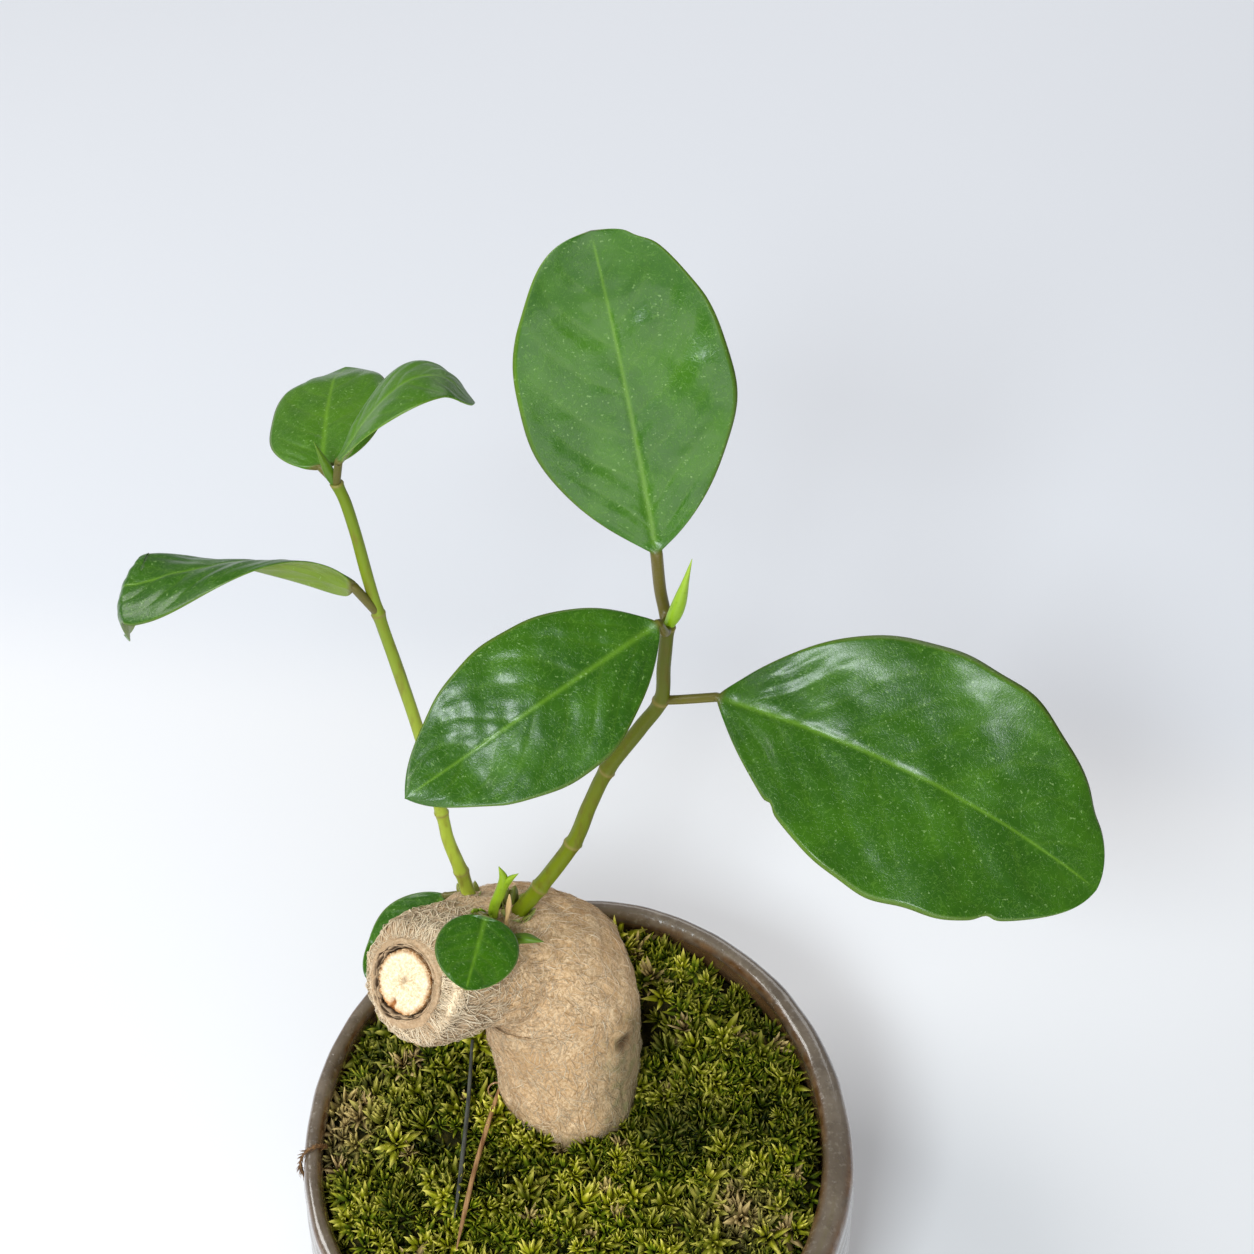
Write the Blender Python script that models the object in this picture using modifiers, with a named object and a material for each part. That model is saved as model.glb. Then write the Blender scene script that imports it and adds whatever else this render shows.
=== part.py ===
"""A small fig grown as a bonsai: thick trunk, two shoots and eight leaves in a round pot with moss.

Metres, +Z up. The origin is the centre of the pot's flat base.
"""

import math

import bmesh
import bpy
from mathutils import Vector

MM = 0.001

# Clearances
GAP = 0.3 * MM
MERGE = 0.01 * MM
PAST = 1.0 * MM

# Pot
POT_HEIGHT = 64 * MM
RIM_RADIUS = 49.5 * MM
BELLY_RADIUS = 50.8 * MM
FOOT_RADIUS = 40 * MM
WALL = 5.5 * MM
FLOOR = 6 * MM
FOOT_BEVEL = 1.5 * MM
BELLY_LEVEL = 0.55
DRAIN_COUNT = 3
DRAIN_RADIUS = 4.5 * MM
DRAIN_CIRCLE = 15 * MM
TURN_STEPS = 40

# Mesh over the drain holes
MESH_RADIUS = 23 * MM
MESH_THICKNESS = 1 * MM
MESH_PITCH = 6 * MM
MESH_HOLE = 3.6 * MM

# Soil and moss
MOSS_BELOW_RIM = 4 * MM
MOSS_DEPTH = 7 * MM
MOSS_EDGE = 2 * MM
MOSS_TOP = POT_HEIGHT - MOSS_BELOW_RIM

# Plant
TRUNK_RADIUS = 13.8 * MM
ROOT_RADIUS = 3.6 * MM
SHOOT_RIGHT_RADIUS = 1.45 * MM
SHOOT_LEFT_RADIUS = 1.2 * MM
SHOOT_TAPER = 0.66
STALK_RADIUS = 0.75 * MM
SMALL_STALK_RADIUS = 0.6 * MM
BLADE_THICKNESS = 0.7 * MM
NEEDLE_RADIUS = 0.45 * MM
STRAND_RADIUS = 0.55 * MM

# The trunk's centre line from the soil to the sawn end, in millimetres from the pot's axis and the
# top of the moss, with the girth there as a share of the widest
TRUNK_LINE = [
    (0.8, 8.5, -14, 0.56),
    (0.4, 10.8, 0, 0.68),
    (-1, 14, 8, 0.84),
    (-2.5, 18.5, 17, 0.97),
    (-5, 21.5, 26, 1.0),
    (-11.5, 20.5, 34, 0.88),
    (-19, 14.8, 39.3, 0.83),
    (-24.3, 9.6, 43.9, 0.79),
    (-27, 7.4, 46.6, 0.7),
    (-28, 6.4, 47.8, 0.54),
]
BEND_KNOT = 6
ROOT_HEADINGS = (25, 115, 205, 300)
ROOT_REACH = 20
ROOT_DROP = 17

# Shoots: their nodes in millimetres, from inside the trunk to the tip
SHOOT_RIGHT_LINE = [
    (-11.6, 20.4, 42),
    (-10.7, 20.5, 45.2),
    (-6, 22, 52.6),
    (-0.2, 24, 62.9),
    (2.7, 25, 72.4),
    (5.6, 26, 80.7),
    (10.9, 28, 89.2),
    (14.1, 29, 95.1),
    (14.5, 30, 102.6),
    (15, 31, 110.4),
    (15.1, 31.1, 111.8),
]
SHOOT_LEFT_LINE = [
    (-17.6, 23.2, 41.5),
    (-18.5, 24.7, 45.5),
    (-19.6, 25.8, 51.8),
    (-21.4, 27, 59.4),
    (-22.2, 28, 66.1),
    (-25.2, 31, 87.4),
    (-29.5, 35, 109.2),
    (-32.3, 38, 128.1),
    (-33.8, 39, 133.9),
]


def begin():
    """Empties the scene and makes the collections for the pieces and for the cutters."""
    for old in list(bpy.data.objects):
        bpy.data.objects.remove(old)
    for name in ("bonsai_fig", "cutters"):
        collection = bpy.data.collections.new(name)
        bpy.context.scene.collection.children.link(collection)


def plant(x, y, z):
    """A point of the plant: millimetres from the pot's axis and the top of the moss, as metres."""
    return Vector((x * MM, y * MM, z * MM + MOSS_TOP))


def material(name, colour, roughness, metallic=0.0):
    made = bpy.data.materials.new(name)
    made.use_nodes = True
    shader = made.node_tree.nodes["Principled BSDF"]
    shader.inputs["Base Color"].default_value = (*colour, 1)
    shader.inputs["Roughness"].default_value = roughness
    shader.inputs["Metallic"].default_value = metallic
    return made


def file_as_piece(obj, colour, roughness):
    """Puts a finished solid in the parts collection with its own material."""
    bpy.data.collections["bonsai_fig"].objects.link(obj)
    obj.data.materials.append(material(obj.name + "_finish", colour, roughness))
    obj.data.shade_smooth()
    obj.data.set_sharp_from_angle(angle=math.radians(40))
    return obj


def file_as_cutter(obj):
    """Puts a helper solid where it cuts or joins, but isn't a piece itself."""
    bpy.data.collections["cutters"].objects.link(obj)
    obj.hide_render = True
    obj.display_type = "WIRE"
    return obj


def boolean(target, other, operation):
    change = target.modifiers.new(other.name, "BOOLEAN")
    change.operation = operation
    change.solver = "EXACT"
    change.object = other


def mesh_object(name, form):
    """An object that is in no collection yet, from a bmesh."""
    mesh = bpy.data.meshes.new(name)
    form.to_mesh(mesh)
    form.free()
    return bpy.data.objects.new(name, mesh)


def smooth_line(points, steps):
    """A smooth curve through points of any dimension (Catmull-Rom)."""
    knots = [Vector(point) for point in points]
    ends = [knots[0] * 2 - knots[1]] + knots + [knots[-1] * 2 - knots[-2]]
    line = []
    for a, b, c, d in zip(ends, ends[1:], ends[2:], ends[3:]):
        for step in range(steps):
            t = step / steps
            line.append(
                b + (c - a) * (t / 2)
                + (a * 2 - b * 5 + c * 4 - d) * (t * t / 2)
                + (b * 3 - a - c * 3 + d) * (t * t * t / 2)
            )
    return line + [knots[-1]]


def tube(name, points, radii, bevel_resolution=2, extra=0.0):
    """A tapering round solid along points. Extra makes it that much bigger all round."""
    points = [point.copy() for point in points]
    points[0] += (points[0] - points[1]).normalized() * extra
    points[-1] += (points[-1] - points[-2]).normalized() * extra
    curve = bpy.data.curves.new(name, "CURVE")
    curve.dimensions = "3D"
    curve.bevel_depth = 1
    curve.bevel_resolution = bevel_resolution
    curve.use_fill_caps = True
    spline = curve.splines.new("POLY")
    spline.points.add(len(points) - 1)
    for knot, point, radius in zip(spline.points, points, radii):
        knot.co = (*point, 1)
        knot.radius = radius + extra
    guide = bpy.data.objects.new(name + "_guide", curve)
    bpy.context.scene.collection.objects.link(guide)
    graph = bpy.context.evaluated_depsgraph_get()
    mesh = bpy.data.meshes.new_from_object(guide.evaluated_get(graph))
    bpy.data.objects.remove(guide)
    form = bmesh.new()
    form.from_mesh(mesh)
    bmesh.ops.remove_doubles(form, verts=form.verts, dist=MERGE)
    bmesh.ops.recalc_face_normals(form, faces=form.faces)
    return mesh_object(name, form)


def turned(name, profile):
    """A solid of revolution about Z. The profile's outer side runs from top to bottom."""
    form = bmesh.new()
    knots = [form.verts.new((radius, 0, height)) for radius, height in profile]
    for first, second in zip(knots, knots[1:]):
        form.edges.new((first, second))
    obj = mesh_object(name, form)
    screw = obj.modifiers.new("turn", "SCREW")
    screw.steps = TURN_STEPS
    screw.render_steps = TURN_STEPS
    screw.use_merge_vertices = True
    screw.merge_threshold = MERGE
    return obj


def outer_radius(height):
    """The pot's outer radius at a height: it swells from the foot to the belly and closes a little."""
    level = height / POT_HEIGHT
    if level < BELLY_LEVEL:
        rise = 1 - level / BELLY_LEVEL
        return BELLY_RADIUS - (BELLY_RADIUS - FOOT_RADIUS) * rise ** 2.2
    rise = (level - BELLY_LEVEL) / (1 - BELLY_LEVEL)
    return BELLY_RADIUS - (BELLY_RADIUS - RIM_RADIUS) * rise ** 2


def inner_radius(height):
    return outer_radius(height) - WALL


def wall_heights(low, high, count):
    """Heights from high to low."""
    return [high + (low - high) * step / count for step in range(count + 1)]


def make_pot():
    """A turned pot with a rounded rim, a flat base and round drain holes."""
    half = WALL / 2
    rim_level = POT_HEIGHT - half
    rim_middle = outer_radius(rim_level) - half
    inside = [(inner_radius(z), z) for z in reversed(wall_heights(FLOOR, rim_level, 7))]
    rim = []
    for step in range(1, 6):
        angle = math.pi * (1 - step / 6)
        rim.append((rim_middle + half * math.cos(angle), rim_level + half * math.sin(angle)))
    outside = [(outer_radius(z), z) for z in wall_heights(FOOT_BEVEL, rim_level, 9)]
    base = [(FOOT_RADIUS - FOOT_BEVEL, 0), (0, 0)]
    pot = turned("pot", [(0, FLOOR)] + inside + rim + outside + base)
    file_as_piece(pot, (0.16, 0.12, 0.10), 0.22)
    for index in range(DRAIN_COUNT):
        angle = math.tau * (index + 0.25) / DRAIN_COUNT
        form = bmesh.new()
        bmesh.ops.create_cone(
            form, cap_ends=True, segments=16, radius1=DRAIN_RADIUS, radius2=DRAIN_RADIUS,
            depth=FLOOR + 2 * PAST,
        )
        drill = file_as_cutter(mesh_object(f"drain_cutter_{index + 1}", form))
        drill.location = (
            DRAIN_CIRCLE * math.cos(angle), DRAIN_CIRCLE * math.sin(angle), FLOOR / 2,
        )
        boolean(pot, drill, "DIFFERENCE")


def make_drain_mesh():
    """A disc of coarse plastic mesh on the pot's floor."""
    disc = turned("drain_mesh", [
        (0, FLOOR + GAP + MESH_THICKNESS),
        (MESH_RADIUS, FLOOR + GAP + MESH_THICKNESS),
        (MESH_RADIUS, FLOOR + GAP),
        (0, FLOOR + GAP),
    ])
    file_as_piece(disc, (0.03, 0.03, 0.03), 0.6)
    reach = int(MESH_RADIUS / MESH_PITCH)
    form = bmesh.new()
    for column in range(-reach, reach + 1):
        for row in range(-reach, reach + 1):
            centre = Vector((column * MESH_PITCH, row * MESH_PITCH, FLOOR + GAP))
            if centre.to_2d().length > MESH_RADIUS - MESH_HOLE:
                continue
            hole = bmesh.ops.create_cube(form, size=MESH_HOLE)["verts"]
            bmesh.ops.translate(form, verts=hole, vec=centre)
    boolean(disc, file_as_cutter(mesh_object("mesh_hole_cutter", form)), "DIFFERENCE")


def trunk_path():
    """The trunk's smooth centre line, and its radius at each point."""
    line = smooth_line(TRUNK_LINE, 2)
    return [plant(*knot[:3]) for knot in line], [knot[3] * TRUNK_RADIUS for knot in line]


def root_path(heading):
    """A root that leaves the buried end of the trunk sideways and turns down."""
    start = plant(*TRUNK_LINE[0][:3]) + Vector((0, 0, 0.4 * TRUNK_RADIUS))
    away = Vector((math.cos(math.radians(heading)), math.sin(math.radians(heading)), 0))
    knots = []
    for share, drop in ((0, 0), (0.4, 0.15), (0.75, 0.5), (1, 1)):
        knots.append(start + away * (ROOT_REACH * MM * share) - Vector((0, 0, ROOT_DROP * MM * drop)))
    return knots, [ROOT_RADIUS * share for share in (1, 0.85, 0.6, 0.3)]


def woody_body(name, extra=0.0):
    """Trunk and roots as one solid, or the space that they need in the soil."""
    body = tube(name, *trunk_path(), bevel_resolution=5, extra=extra)
    for heading in ROOT_HEADINGS:
        root = tube(f"{name}_root_{heading}", *root_path(heading), bevel_resolution=1, extra=extra)
        boolean(body, file_as_cutter(root), "UNION")
    return body


def make_soil(space):
    """Soil from the pot's floor to the moss, with a pocket for the mesh disc."""
    top = MOSS_TOP - MOSS_DEPTH
    bottom = FLOOR + GAP
    pocket = bottom + MESH_THICKNESS + GAP
    side = [(inner_radius(z) - GAP, z) for z in wall_heights(bottom, top, 6)]
    soil = turned("soil", [
        (0, top), *side, (MESH_RADIUS + GAP, bottom), (MESH_RADIUS + GAP, pocket), (0, pocket),
    ])
    boolean(soil, space, "DIFFERENCE")
    return file_as_piece(soil, (0.05, 0.035, 0.022), 0.95)


def make_moss(space):
    """A carpet of moss that fills the pot's mouth, rounded at its edge."""
    bottom = MOSS_TOP - MOSS_DEPTH + GAP
    edge_level = MOSS_TOP - MOSS_EDGE
    edge = inner_radius(MOSS_TOP) - GAP
    rounding = []
    for step in range(4):
        angle = math.pi / 2 * (1 - step / 3)
        rounding.append((
            edge - MOSS_EDGE + MOSS_EDGE * math.cos(angle),
            edge_level + MOSS_EDGE * math.sin(angle),
        ))
    moss = turned("moss", [(0, MOSS_TOP)] + rounding + [(edge, bottom), (0, bottom)])
    boolean(moss, space, "DIFFERENCE")
    return file_as_piece(moss, (0.16, 0.17, 0.02), 0.9)


def seat_in_trunk(trunk, name, points, radii):
    """A socket in the trunk for the inner end of a shoot, a stalk or a bud."""
    socket = tube(name + "_socket", points[:3], radii[:3], extra=GAP)
    boolean(trunk, file_as_cutter(socket), "DIFFERENCE")


def make_shoot(trunk, name, line, radius):
    """A green shoot, thinner towards its tip."""
    points = [plant(*knot) for knot in line]
    last = len(points) - 1
    radii = [radius * (1 - (1 - SHOOT_TAPER) * index / last) for index in range(last + 1)]
    seat_in_trunk(trunk, name, points, radii)
    file_as_piece(tube(name, points, radii), (0.17, 0.25, 0.04), 0.45)
    return points, radii


def off_shoot(shoot, node, towards, stalk_radius):
    """Where a stalk that leaves a shoot's node towards a point starts, clear of the shoot."""
    points, radii = shoot
    axis = (points[min(node + 1, len(points) - 1)] - points[node - 1]).normalized()
    heading = (towards - points[node]).normalized()
    lean = axis.angle(heading)
    reach = radii[node] + GAP + stalk_radius * abs(math.cos(lean))
    return points[node] + heading * (reach / math.sin(lean))


def outline_width(share, widest, base_taper, tip_taper):
    """A blade's width from base (0) to tip (1), as a share of its widest."""
    bend = math.log(0.5) / math.log(widest)
    taper = base_taper + (tip_taper - base_taper) * share
    return math.sin(math.pi * share ** bend) ** taper


def loft(name, rings):
    """A closed solid through rings that have the same number of points."""
    form = bmesh.new()
    loops = [[form.verts.new(point) for point in ring] for ring in rings]
    count = len(loops[0])
    for first, second in zip(loops, loops[1:]):
        for k in range(count):
            form.faces.new((first[k], first[(k + 1) % count], second[(k + 1) % count], second[k]))
    form.faces.new(list(reversed(loops[0])))
    form.faces.new(loops[-1])
    bmesh.ops.recalc_face_normals(form, faces=form.faces)
    return mesh_object(name, form)


def make_leaf(
    name, stalk, length, width, heading, facing, facing_tip=None, arch=0.0, bend=0.0, cup=0.0,
    widest=0.5, base_taper=0.85, tip_taper=0.5, stalk_radius=STALK_RADIUS,
):
    """A leaf grown in one with its stalk: round sections that open into a flat, arched blade.

    Stalk is the stalk's points up to the blade's base. Length and width are the blade's, heading is
    its direction, facing what its upper side looks at. Arch lifts its middle, bend moves its middle
    sideways and cup lifts its margins.
    """
    sides = 8
    blade_steps = 12
    heading = Vector(heading).normalized()
    facing = Vector(facing).normalized()
    facing_tip = Vector(facing_tip or facing).normalized()
    base = stalk[-1]
    spine = [(point, stalk_radius, stalk_radius, facing, 0.0) for point in stalk]
    for step in range(1, blade_steps + 1):
        share = (1 - math.cos(math.pi * step / blade_steps)) / 2
        upper = facing.lerp(facing_tip, share).normalized()
        middle = 4 * share * (1 - share)
        lift = upper * (arch * middle) + heading.cross(upper) * (bend * middle)
        half = width / 2 * outline_width(min(share, 0.9999), widest, base_taper, tip_taper)
        half = max(half, stalk_radius / 2 if share > 0.5 else stalk_radius)
        thick = BLADE_THICKNESS / 2
        if step == 1:
            thick = (stalk_radius + thick) / 2
        spine.append((base + heading * (length * share) + lift, half, thick, upper, cup))
    rings = []
    for index, (point, half, thick, upper, bowl) in enumerate(spine):
        before = spine[max(index - 1, 0)][0]
        after = spine[min(index + 1, len(spine) - 1)][0]
        along = (after - before).normalized()
        side = along.cross(upper).normalized()
        normal = side.cross(along)
        ring = []
        for k in range(sides):
            angle = math.tau * k / sides
            across = math.cos(angle)
            height = thick * math.sin(angle) + bowl * half * across * across
            ring.append(point + side * (half * across) + normal * height)
        rings.append(ring)
    return file_as_piece(loft(name, rings), (0.04, 0.16, 0.02), 0.35)


def leaf_on_shoot(name, shoot, node, stalk, stalk_radius=STALK_RADIUS, **blade):
    """A leaf whose stalk leaves a node of a shoot. Its stalk's points are offsets from the node."""
    foot = shoot[0][node]
    points = [foot + Vector(point) * MM for point in stalk]
    start = off_shoot(shoot, node, points[0], stalk_radius)
    return make_leaf(name, [start] + points, stalk_radius=stalk_radius, **blade)


def off_bark(direction, clear):
    """A point over the trunk's bend, in a direction from its line and clear millimetres off the bark."""
    x, y, z, share = TRUNK_LINE[BEND_KNOT]
    reach = share * TRUNK_RADIUS + clear * MM
    return plant(x, y, z) + Vector(direction).normalized() * reach


def leaf_on_trunk(trunk, name, seat, stalk, **blade):
    """A leaf whose stalk stands in a socket of the trunk and then keeps clear of the bark."""
    points = [plant(*seat)] + [off_bark(*point) for point in stalk]
    radii = [SMALL_STALK_RADIUS] * len(points)
    seat_in_trunk(trunk, name, points, radii)
    return make_leaf(name, points, stalk_radius=SMALL_STALK_RADIUS, **blade)


def make_right_leaves(shoot):
    """The three big leaves of the right shoot."""
    leaf_on_shoot(
        "leaf_right", shoot, 7, [(8.6, -2, 3.3)], length=63.5 * MM, width=38 * MM,
        heading=(0.89, -0.415, -0.19), facing=(0.1, -0.5, 0.86), arch=3 * MM, bend=-4 * MM, cup=0.05,
        widest=0.5, base_taper=0.8, tip_taper=0.45,
    )
    leaf_on_shoot(
        "leaf_middle", shoot, 9, [(-0.5, -2.2, 1.6), (-1.5, -3.2, 4.8)], length=46 * MM, width=26.5 * MM,
        heading=(-0.82, -0.48, -0.33), facing=(-0.1, -0.6, 0.8), arch=2.5 * MM, bend=1 * MM, cup=-0.06,
        widest=0.52, base_taper=0.7, tip_taper=0.6,
    )
    leaf_on_shoot(
        "leaf_top", shoot, 9, [(-0.5, 2.6, 1.2), (-1.2, 3.7, 5), (-1.8, 4, 12.4)],
        length=49 * MM, width=33 * MM, heading=(-0.19, 0.37, 0.91), facing=(0.06, -0.85, 0.39),
        arch=-1.5 * MM, cup=0.08, widest=0.55, base_taper=0.9, tip_taper=0.35,
        stalk_radius=0.85 * MM,
    )


def make_left_leaves(shoot):
    """The three leaves of the left shoot."""
    leaf_on_shoot(
        "leaf_far_left", shoot, 6, [(-3.4, -1, 6)], length=40 * MM, width=19 * MM,
        heading=(-0.93, 0.05, -0.33), facing=(0.05, 0.9, 0.4), facing_tip=(-0.35, 0, 0.95),
        arch=8 * MM, cup=-0.1, widest=0.5, base_taper=0.8, tip_taper=0.6,
    )
    leaf_on_shoot(
        "leaf_left_back", shoot, 8, [(-2.4, 2.6, 0.6)], length=24 * MM, width=18 * MM,
        heading=(-0.06, 0.97, -0.15), facing=(0, -0.1, 1), arch=1.5 * MM, cup=-0.05,
        widest=0.5, base_taper=0.6, tip_taper=0.5, stalk_radius=SMALL_STALK_RADIUS,
    )
    leaf_on_shoot(
        "leaf_left_front", shoot, 8, [(0.9, -0.9, 6)], length=21 * MM, width=13.5 * MM,
        heading=(0.92, 0.25, 0.24), facing=(-0.1, 0.35, 0.93), arch=8 * MM, cup=-0.12,
        widest=0.5, base_taper=0.8, tip_taper=0.8, stalk_radius=SMALL_STALK_RADIUS,
    )


def make_small_leaves(trunk):
    """The two small leaves that stand on the trunk's bend."""
    leaf_on_trunk(
        trunk, "leaf_small_front", (-16.6, 19, 46),
        [((0.23, 0.21, 0.95), 0.9), ((0.26, -0.01, 0.96), 4.6)],
        length=13.5 * MM, width=15 * MM, heading=(-0.22, -0.95, -0.1),
        facing=(0.06, -0.45, 0.88), cup=-0.06, widest=0.42, base_taper=0.4, tip_taper=0.6,
    )
    leaf_on_trunk(
        trunk, "leaf_small_back", (-17, 22, 35.5),
        [((-0.03, 1, -0.06), 2.8), ((-0.28, 0.95, -0.14), 5.1)],
        length=22 * MM, width=13 * MM, heading=(-0.66, -0.41, -0.63),
        facing=(-0.1, -0.5, 0.85), cup=-0.05, widest=0.5, base_taper=0.6, tip_taper=0.6,
    )


def make_bud(name, shoot, offset, bend, tip, fullness):
    """A pointed end bud that stands on the end of a shoot. Offsets are in millimetres."""
    end = shoot[0][-1]
    rise = (shoot[0][-1] - shoot[0][-2]).normalized() * (GAP + 0.25 * MM)
    start = end + rise + Vector(offset) * MM
    points = smooth_line([start, start + Vector(bend) * MM, start + Vector(tip) * MM], 3)
    shape = (0.7, 0.95, 1.0, 0.9, 0.65, 0.38, 0.12)
    radii = [fullness * share for share in shape]
    file_as_piece(tube(name, points, radii), (0.45, 0.62, 0.05), 0.4)


def trunk_shoot(trunk, name, line, radii_mm, colour):
    """A small shoot or bud that stands in a socket of the trunk."""
    points = [plant(*knot) for knot in line]
    radii = [radius * MM for radius in radii_mm]
    seat_in_trunk(trunk, name, points, radii)
    return file_as_piece(tube(name, points, radii), colour, 0.5)


def make_crown_growth(trunk):
    """The young forked sprout, the dead stalk and the side bud on the trunk's bend."""
    sprout = trunk_shoot(
        trunk, "young_sprout",
        [(-14.2, 18.8, 46.5), (-13.6, 18.6, 52), (-12.4, 18.9, 56), (-11.8, 19.2, 59.5),
         (-12.4, 19.3, 62.6)],
        (0.75, 0.8, 0.9, 0.75, 0.25), (0.3, 0.42, 0.06),
    )
    fork = [plant(*knot) for knot in ((-12.3, 18.9, 56.4), (-10.8, 18.9, 59.6), (-9.2, 18.6, 61.6))]
    branch = tube("sprout_fork", fork, (0.55 * MM, 0.55 * MM, 0.2 * MM))
    boolean(sprout, file_as_cutter(branch), "UNION")
    trunk_shoot(
        trunk, "dead_stalk",
        [(-12.2, 16.2, 45.5), (-11.6, 16.4, 50.5), (-11, 16.9, 55), (-10.8, 17.2, 57.5)],
        (0.4, 0.35, 0.3, 0.15), (0.45, 0.3, 0.16),
    )
    trunk_shoot(
        trunk, "side_bud",
        [(-10.9, 15.5, 44.5), (-10.2, 14.5, 48), (-8, 13.4, 50), (-5.2, 12.4, 50.6)],
        (0.7, 0.9, 0.8, 0.15), (0.25, 0.36, 0.05),
    )


def make_needles():
    """Two fallen needles that lie on the moss."""
    rest = NEEDLE_RADIUS / MM + GAP / MM
    dark = smooth_line([(-20, 20, rest), (-20.2, 6.7, rest), (-21, -8.4, rest), (-21.6, -15.3, rest)], 2)
    brown = smooth_line(
        [(-14.4, 10.6, rest), (-16, 4.5, rest), (-18.4, -6, rest), (-19.9, -14.7, rest),
         (-20.9, -21.1, rest)], 2,
    )
    for name, line, colour in (
        ("dark_needle", dark, (0.05, 0.06, 0.07)),
        ("brown_needle", brown, (0.4, 0.17, 0.05)),
    ):
        points = [plant(*knot) for knot in line]
        radii = [NEEDLE_RADIUS] * (len(points) - 1) + [0.4 * NEEDLE_RADIUS]
        file_as_piece(tube(name, points, radii), colour, 0.5)


def make_strand():
    """A strand of dead moss that hangs over the left of the rim."""
    half = WALL / 2
    clear = GAP + STRAND_RADIUS
    rim_level = POT_HEIGHT - half
    middle = outer_radius(rim_level) - half
    reach = half + clear + GAP
    route = [(middle - half - 4 * MM, MOSS_TOP + clear)]
    for angle in range(150, -1, -30):
        turn = math.radians(angle)
        route.append((middle + reach * math.cos(turn), rim_level + reach * math.sin(turn)))
    end_level = rim_level - reach / 2
    route.append((outer_radius(end_level) + clear, end_level))
    points = []
    for step, (radius, height) in enumerate(route):
        turn = math.radians(181 + 0.7 * step)
        points.append(Vector((radius * math.cos(turn), radius * math.sin(turn), height)))
    radii = [STRAND_RADIUS] * (len(points) - 1) + [0.4 * STRAND_RADIUS]
    file_as_piece(tube("dead_moss_strand", points, radii), (0.2, 0.1, 0.04), 0.9)


def main():
    begin()
    make_pot()
    make_drain_mesh()
    space = file_as_cutter(woody_body("trunk_space", extra=GAP))
    make_soil(space)
    make_moss(space)
    trunk = woody_body("trunk")
    right = make_shoot(trunk, "shoot_right", SHOOT_RIGHT_LINE, SHOOT_RIGHT_RADIUS)
    left = make_shoot(trunk, "shoot_left", SHOOT_LEFT_LINE, SHOOT_LEFT_RADIUS)
    make_right_leaves(right)
    make_left_leaves(left)
    make_small_leaves(trunk)
    make_bud("bud_right", right, (0.2, -0.3, 0), (1.2, 0, 4.2), (3, 1.2, 13), 0.9 * MM)
    make_bud("bud_left", left, (-0.2, 0, 0), (-1, 0.4, 3.4), (-2.4, 1, 7.6), 0.6 * MM)
    make_crown_growth(trunk)
    file_as_piece(trunk, (0.45, 0.34, 0.22), 0.85)
    make_needles()
    make_strand()


main()
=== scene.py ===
# %% [markdown]
# # A fig cutting in a glazed pot
#
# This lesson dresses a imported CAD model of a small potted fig: a thick felted trunk with a sawn
# end, two green shoots with their leaves, a cushion of star moss and a hand-thrown pot.
# The CAD model fixes where everything is. Each visible piece is built again here in finer mesh,
# on the same lines and in the same place, and then gets a finish made of shader nodes.

# %% Load the fixed frame
import math

import bpy
import numpy as np
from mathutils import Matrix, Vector


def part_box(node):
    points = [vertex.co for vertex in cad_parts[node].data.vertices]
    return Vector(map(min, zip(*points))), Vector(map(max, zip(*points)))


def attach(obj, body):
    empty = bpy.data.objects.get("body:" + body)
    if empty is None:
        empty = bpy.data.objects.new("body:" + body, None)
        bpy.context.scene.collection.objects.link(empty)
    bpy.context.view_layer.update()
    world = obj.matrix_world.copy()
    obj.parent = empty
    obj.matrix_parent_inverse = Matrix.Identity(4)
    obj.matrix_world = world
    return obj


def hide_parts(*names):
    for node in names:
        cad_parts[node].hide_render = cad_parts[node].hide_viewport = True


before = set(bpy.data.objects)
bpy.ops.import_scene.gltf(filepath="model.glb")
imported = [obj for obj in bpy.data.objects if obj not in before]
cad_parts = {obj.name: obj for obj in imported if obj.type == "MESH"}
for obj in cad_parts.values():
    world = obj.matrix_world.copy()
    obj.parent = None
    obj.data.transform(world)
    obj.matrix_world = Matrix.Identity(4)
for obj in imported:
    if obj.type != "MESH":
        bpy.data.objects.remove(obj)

MM = 0.001
TURN = 2 * math.pi
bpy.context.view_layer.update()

# %% [markdown]
# ## The sizes that the pieces share
#
# All points in this lesson are in millimetres, because a plant's details are easier to think of
# that way. A piece is scaled to metres once, when its mesh is made. The pot and the moss give
# the heights that everything else stands on, so they are read from the CAD model.

# %% Shared sizes
pot_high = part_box("pot")[1]
POT_HEIGHT = pot_high.z / MM
BELLY_RADIUS = pot_high.x / MM
MOSS_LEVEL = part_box("moss")[1].z / MM
FLOOR_TOP = 6.0
print(f"pot {POT_HEIGHT:.1f} high and {2 * BELLY_RADIUS:.1f} wide, moss at {MOSS_LEVEL:.1f}")


def plant(*knots):
    """Points of the plant, measured from the pot's axis and from the top of the moss."""
    return np.array(knots, float) + (0, 0, MOSS_LEVEL)


# %% [markdown]
# ## Helpers for lines
#
# Stems, roots, needles and leaf stalks all follow a line. A few knots are enough to say where
# a stem goes, and a Catmull-Rom curve passes through each of them without corners. The curve is
# then walked at even steps, so that what is drawn round it has even faces.

# %% Smooth lines and the directions along them
def unit(vectors):
    """The same directions with length 1."""
    return vectors / np.linalg.norm(vectors, axis=-1, keepdims=True)


def walked(line):
    """How far along a line each of its points lies."""
    steps = np.linalg.norm(np.diff(line[:, :3], axis=0), axis=1)
    return np.concatenate([[0], np.cumsum(steps)])


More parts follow.
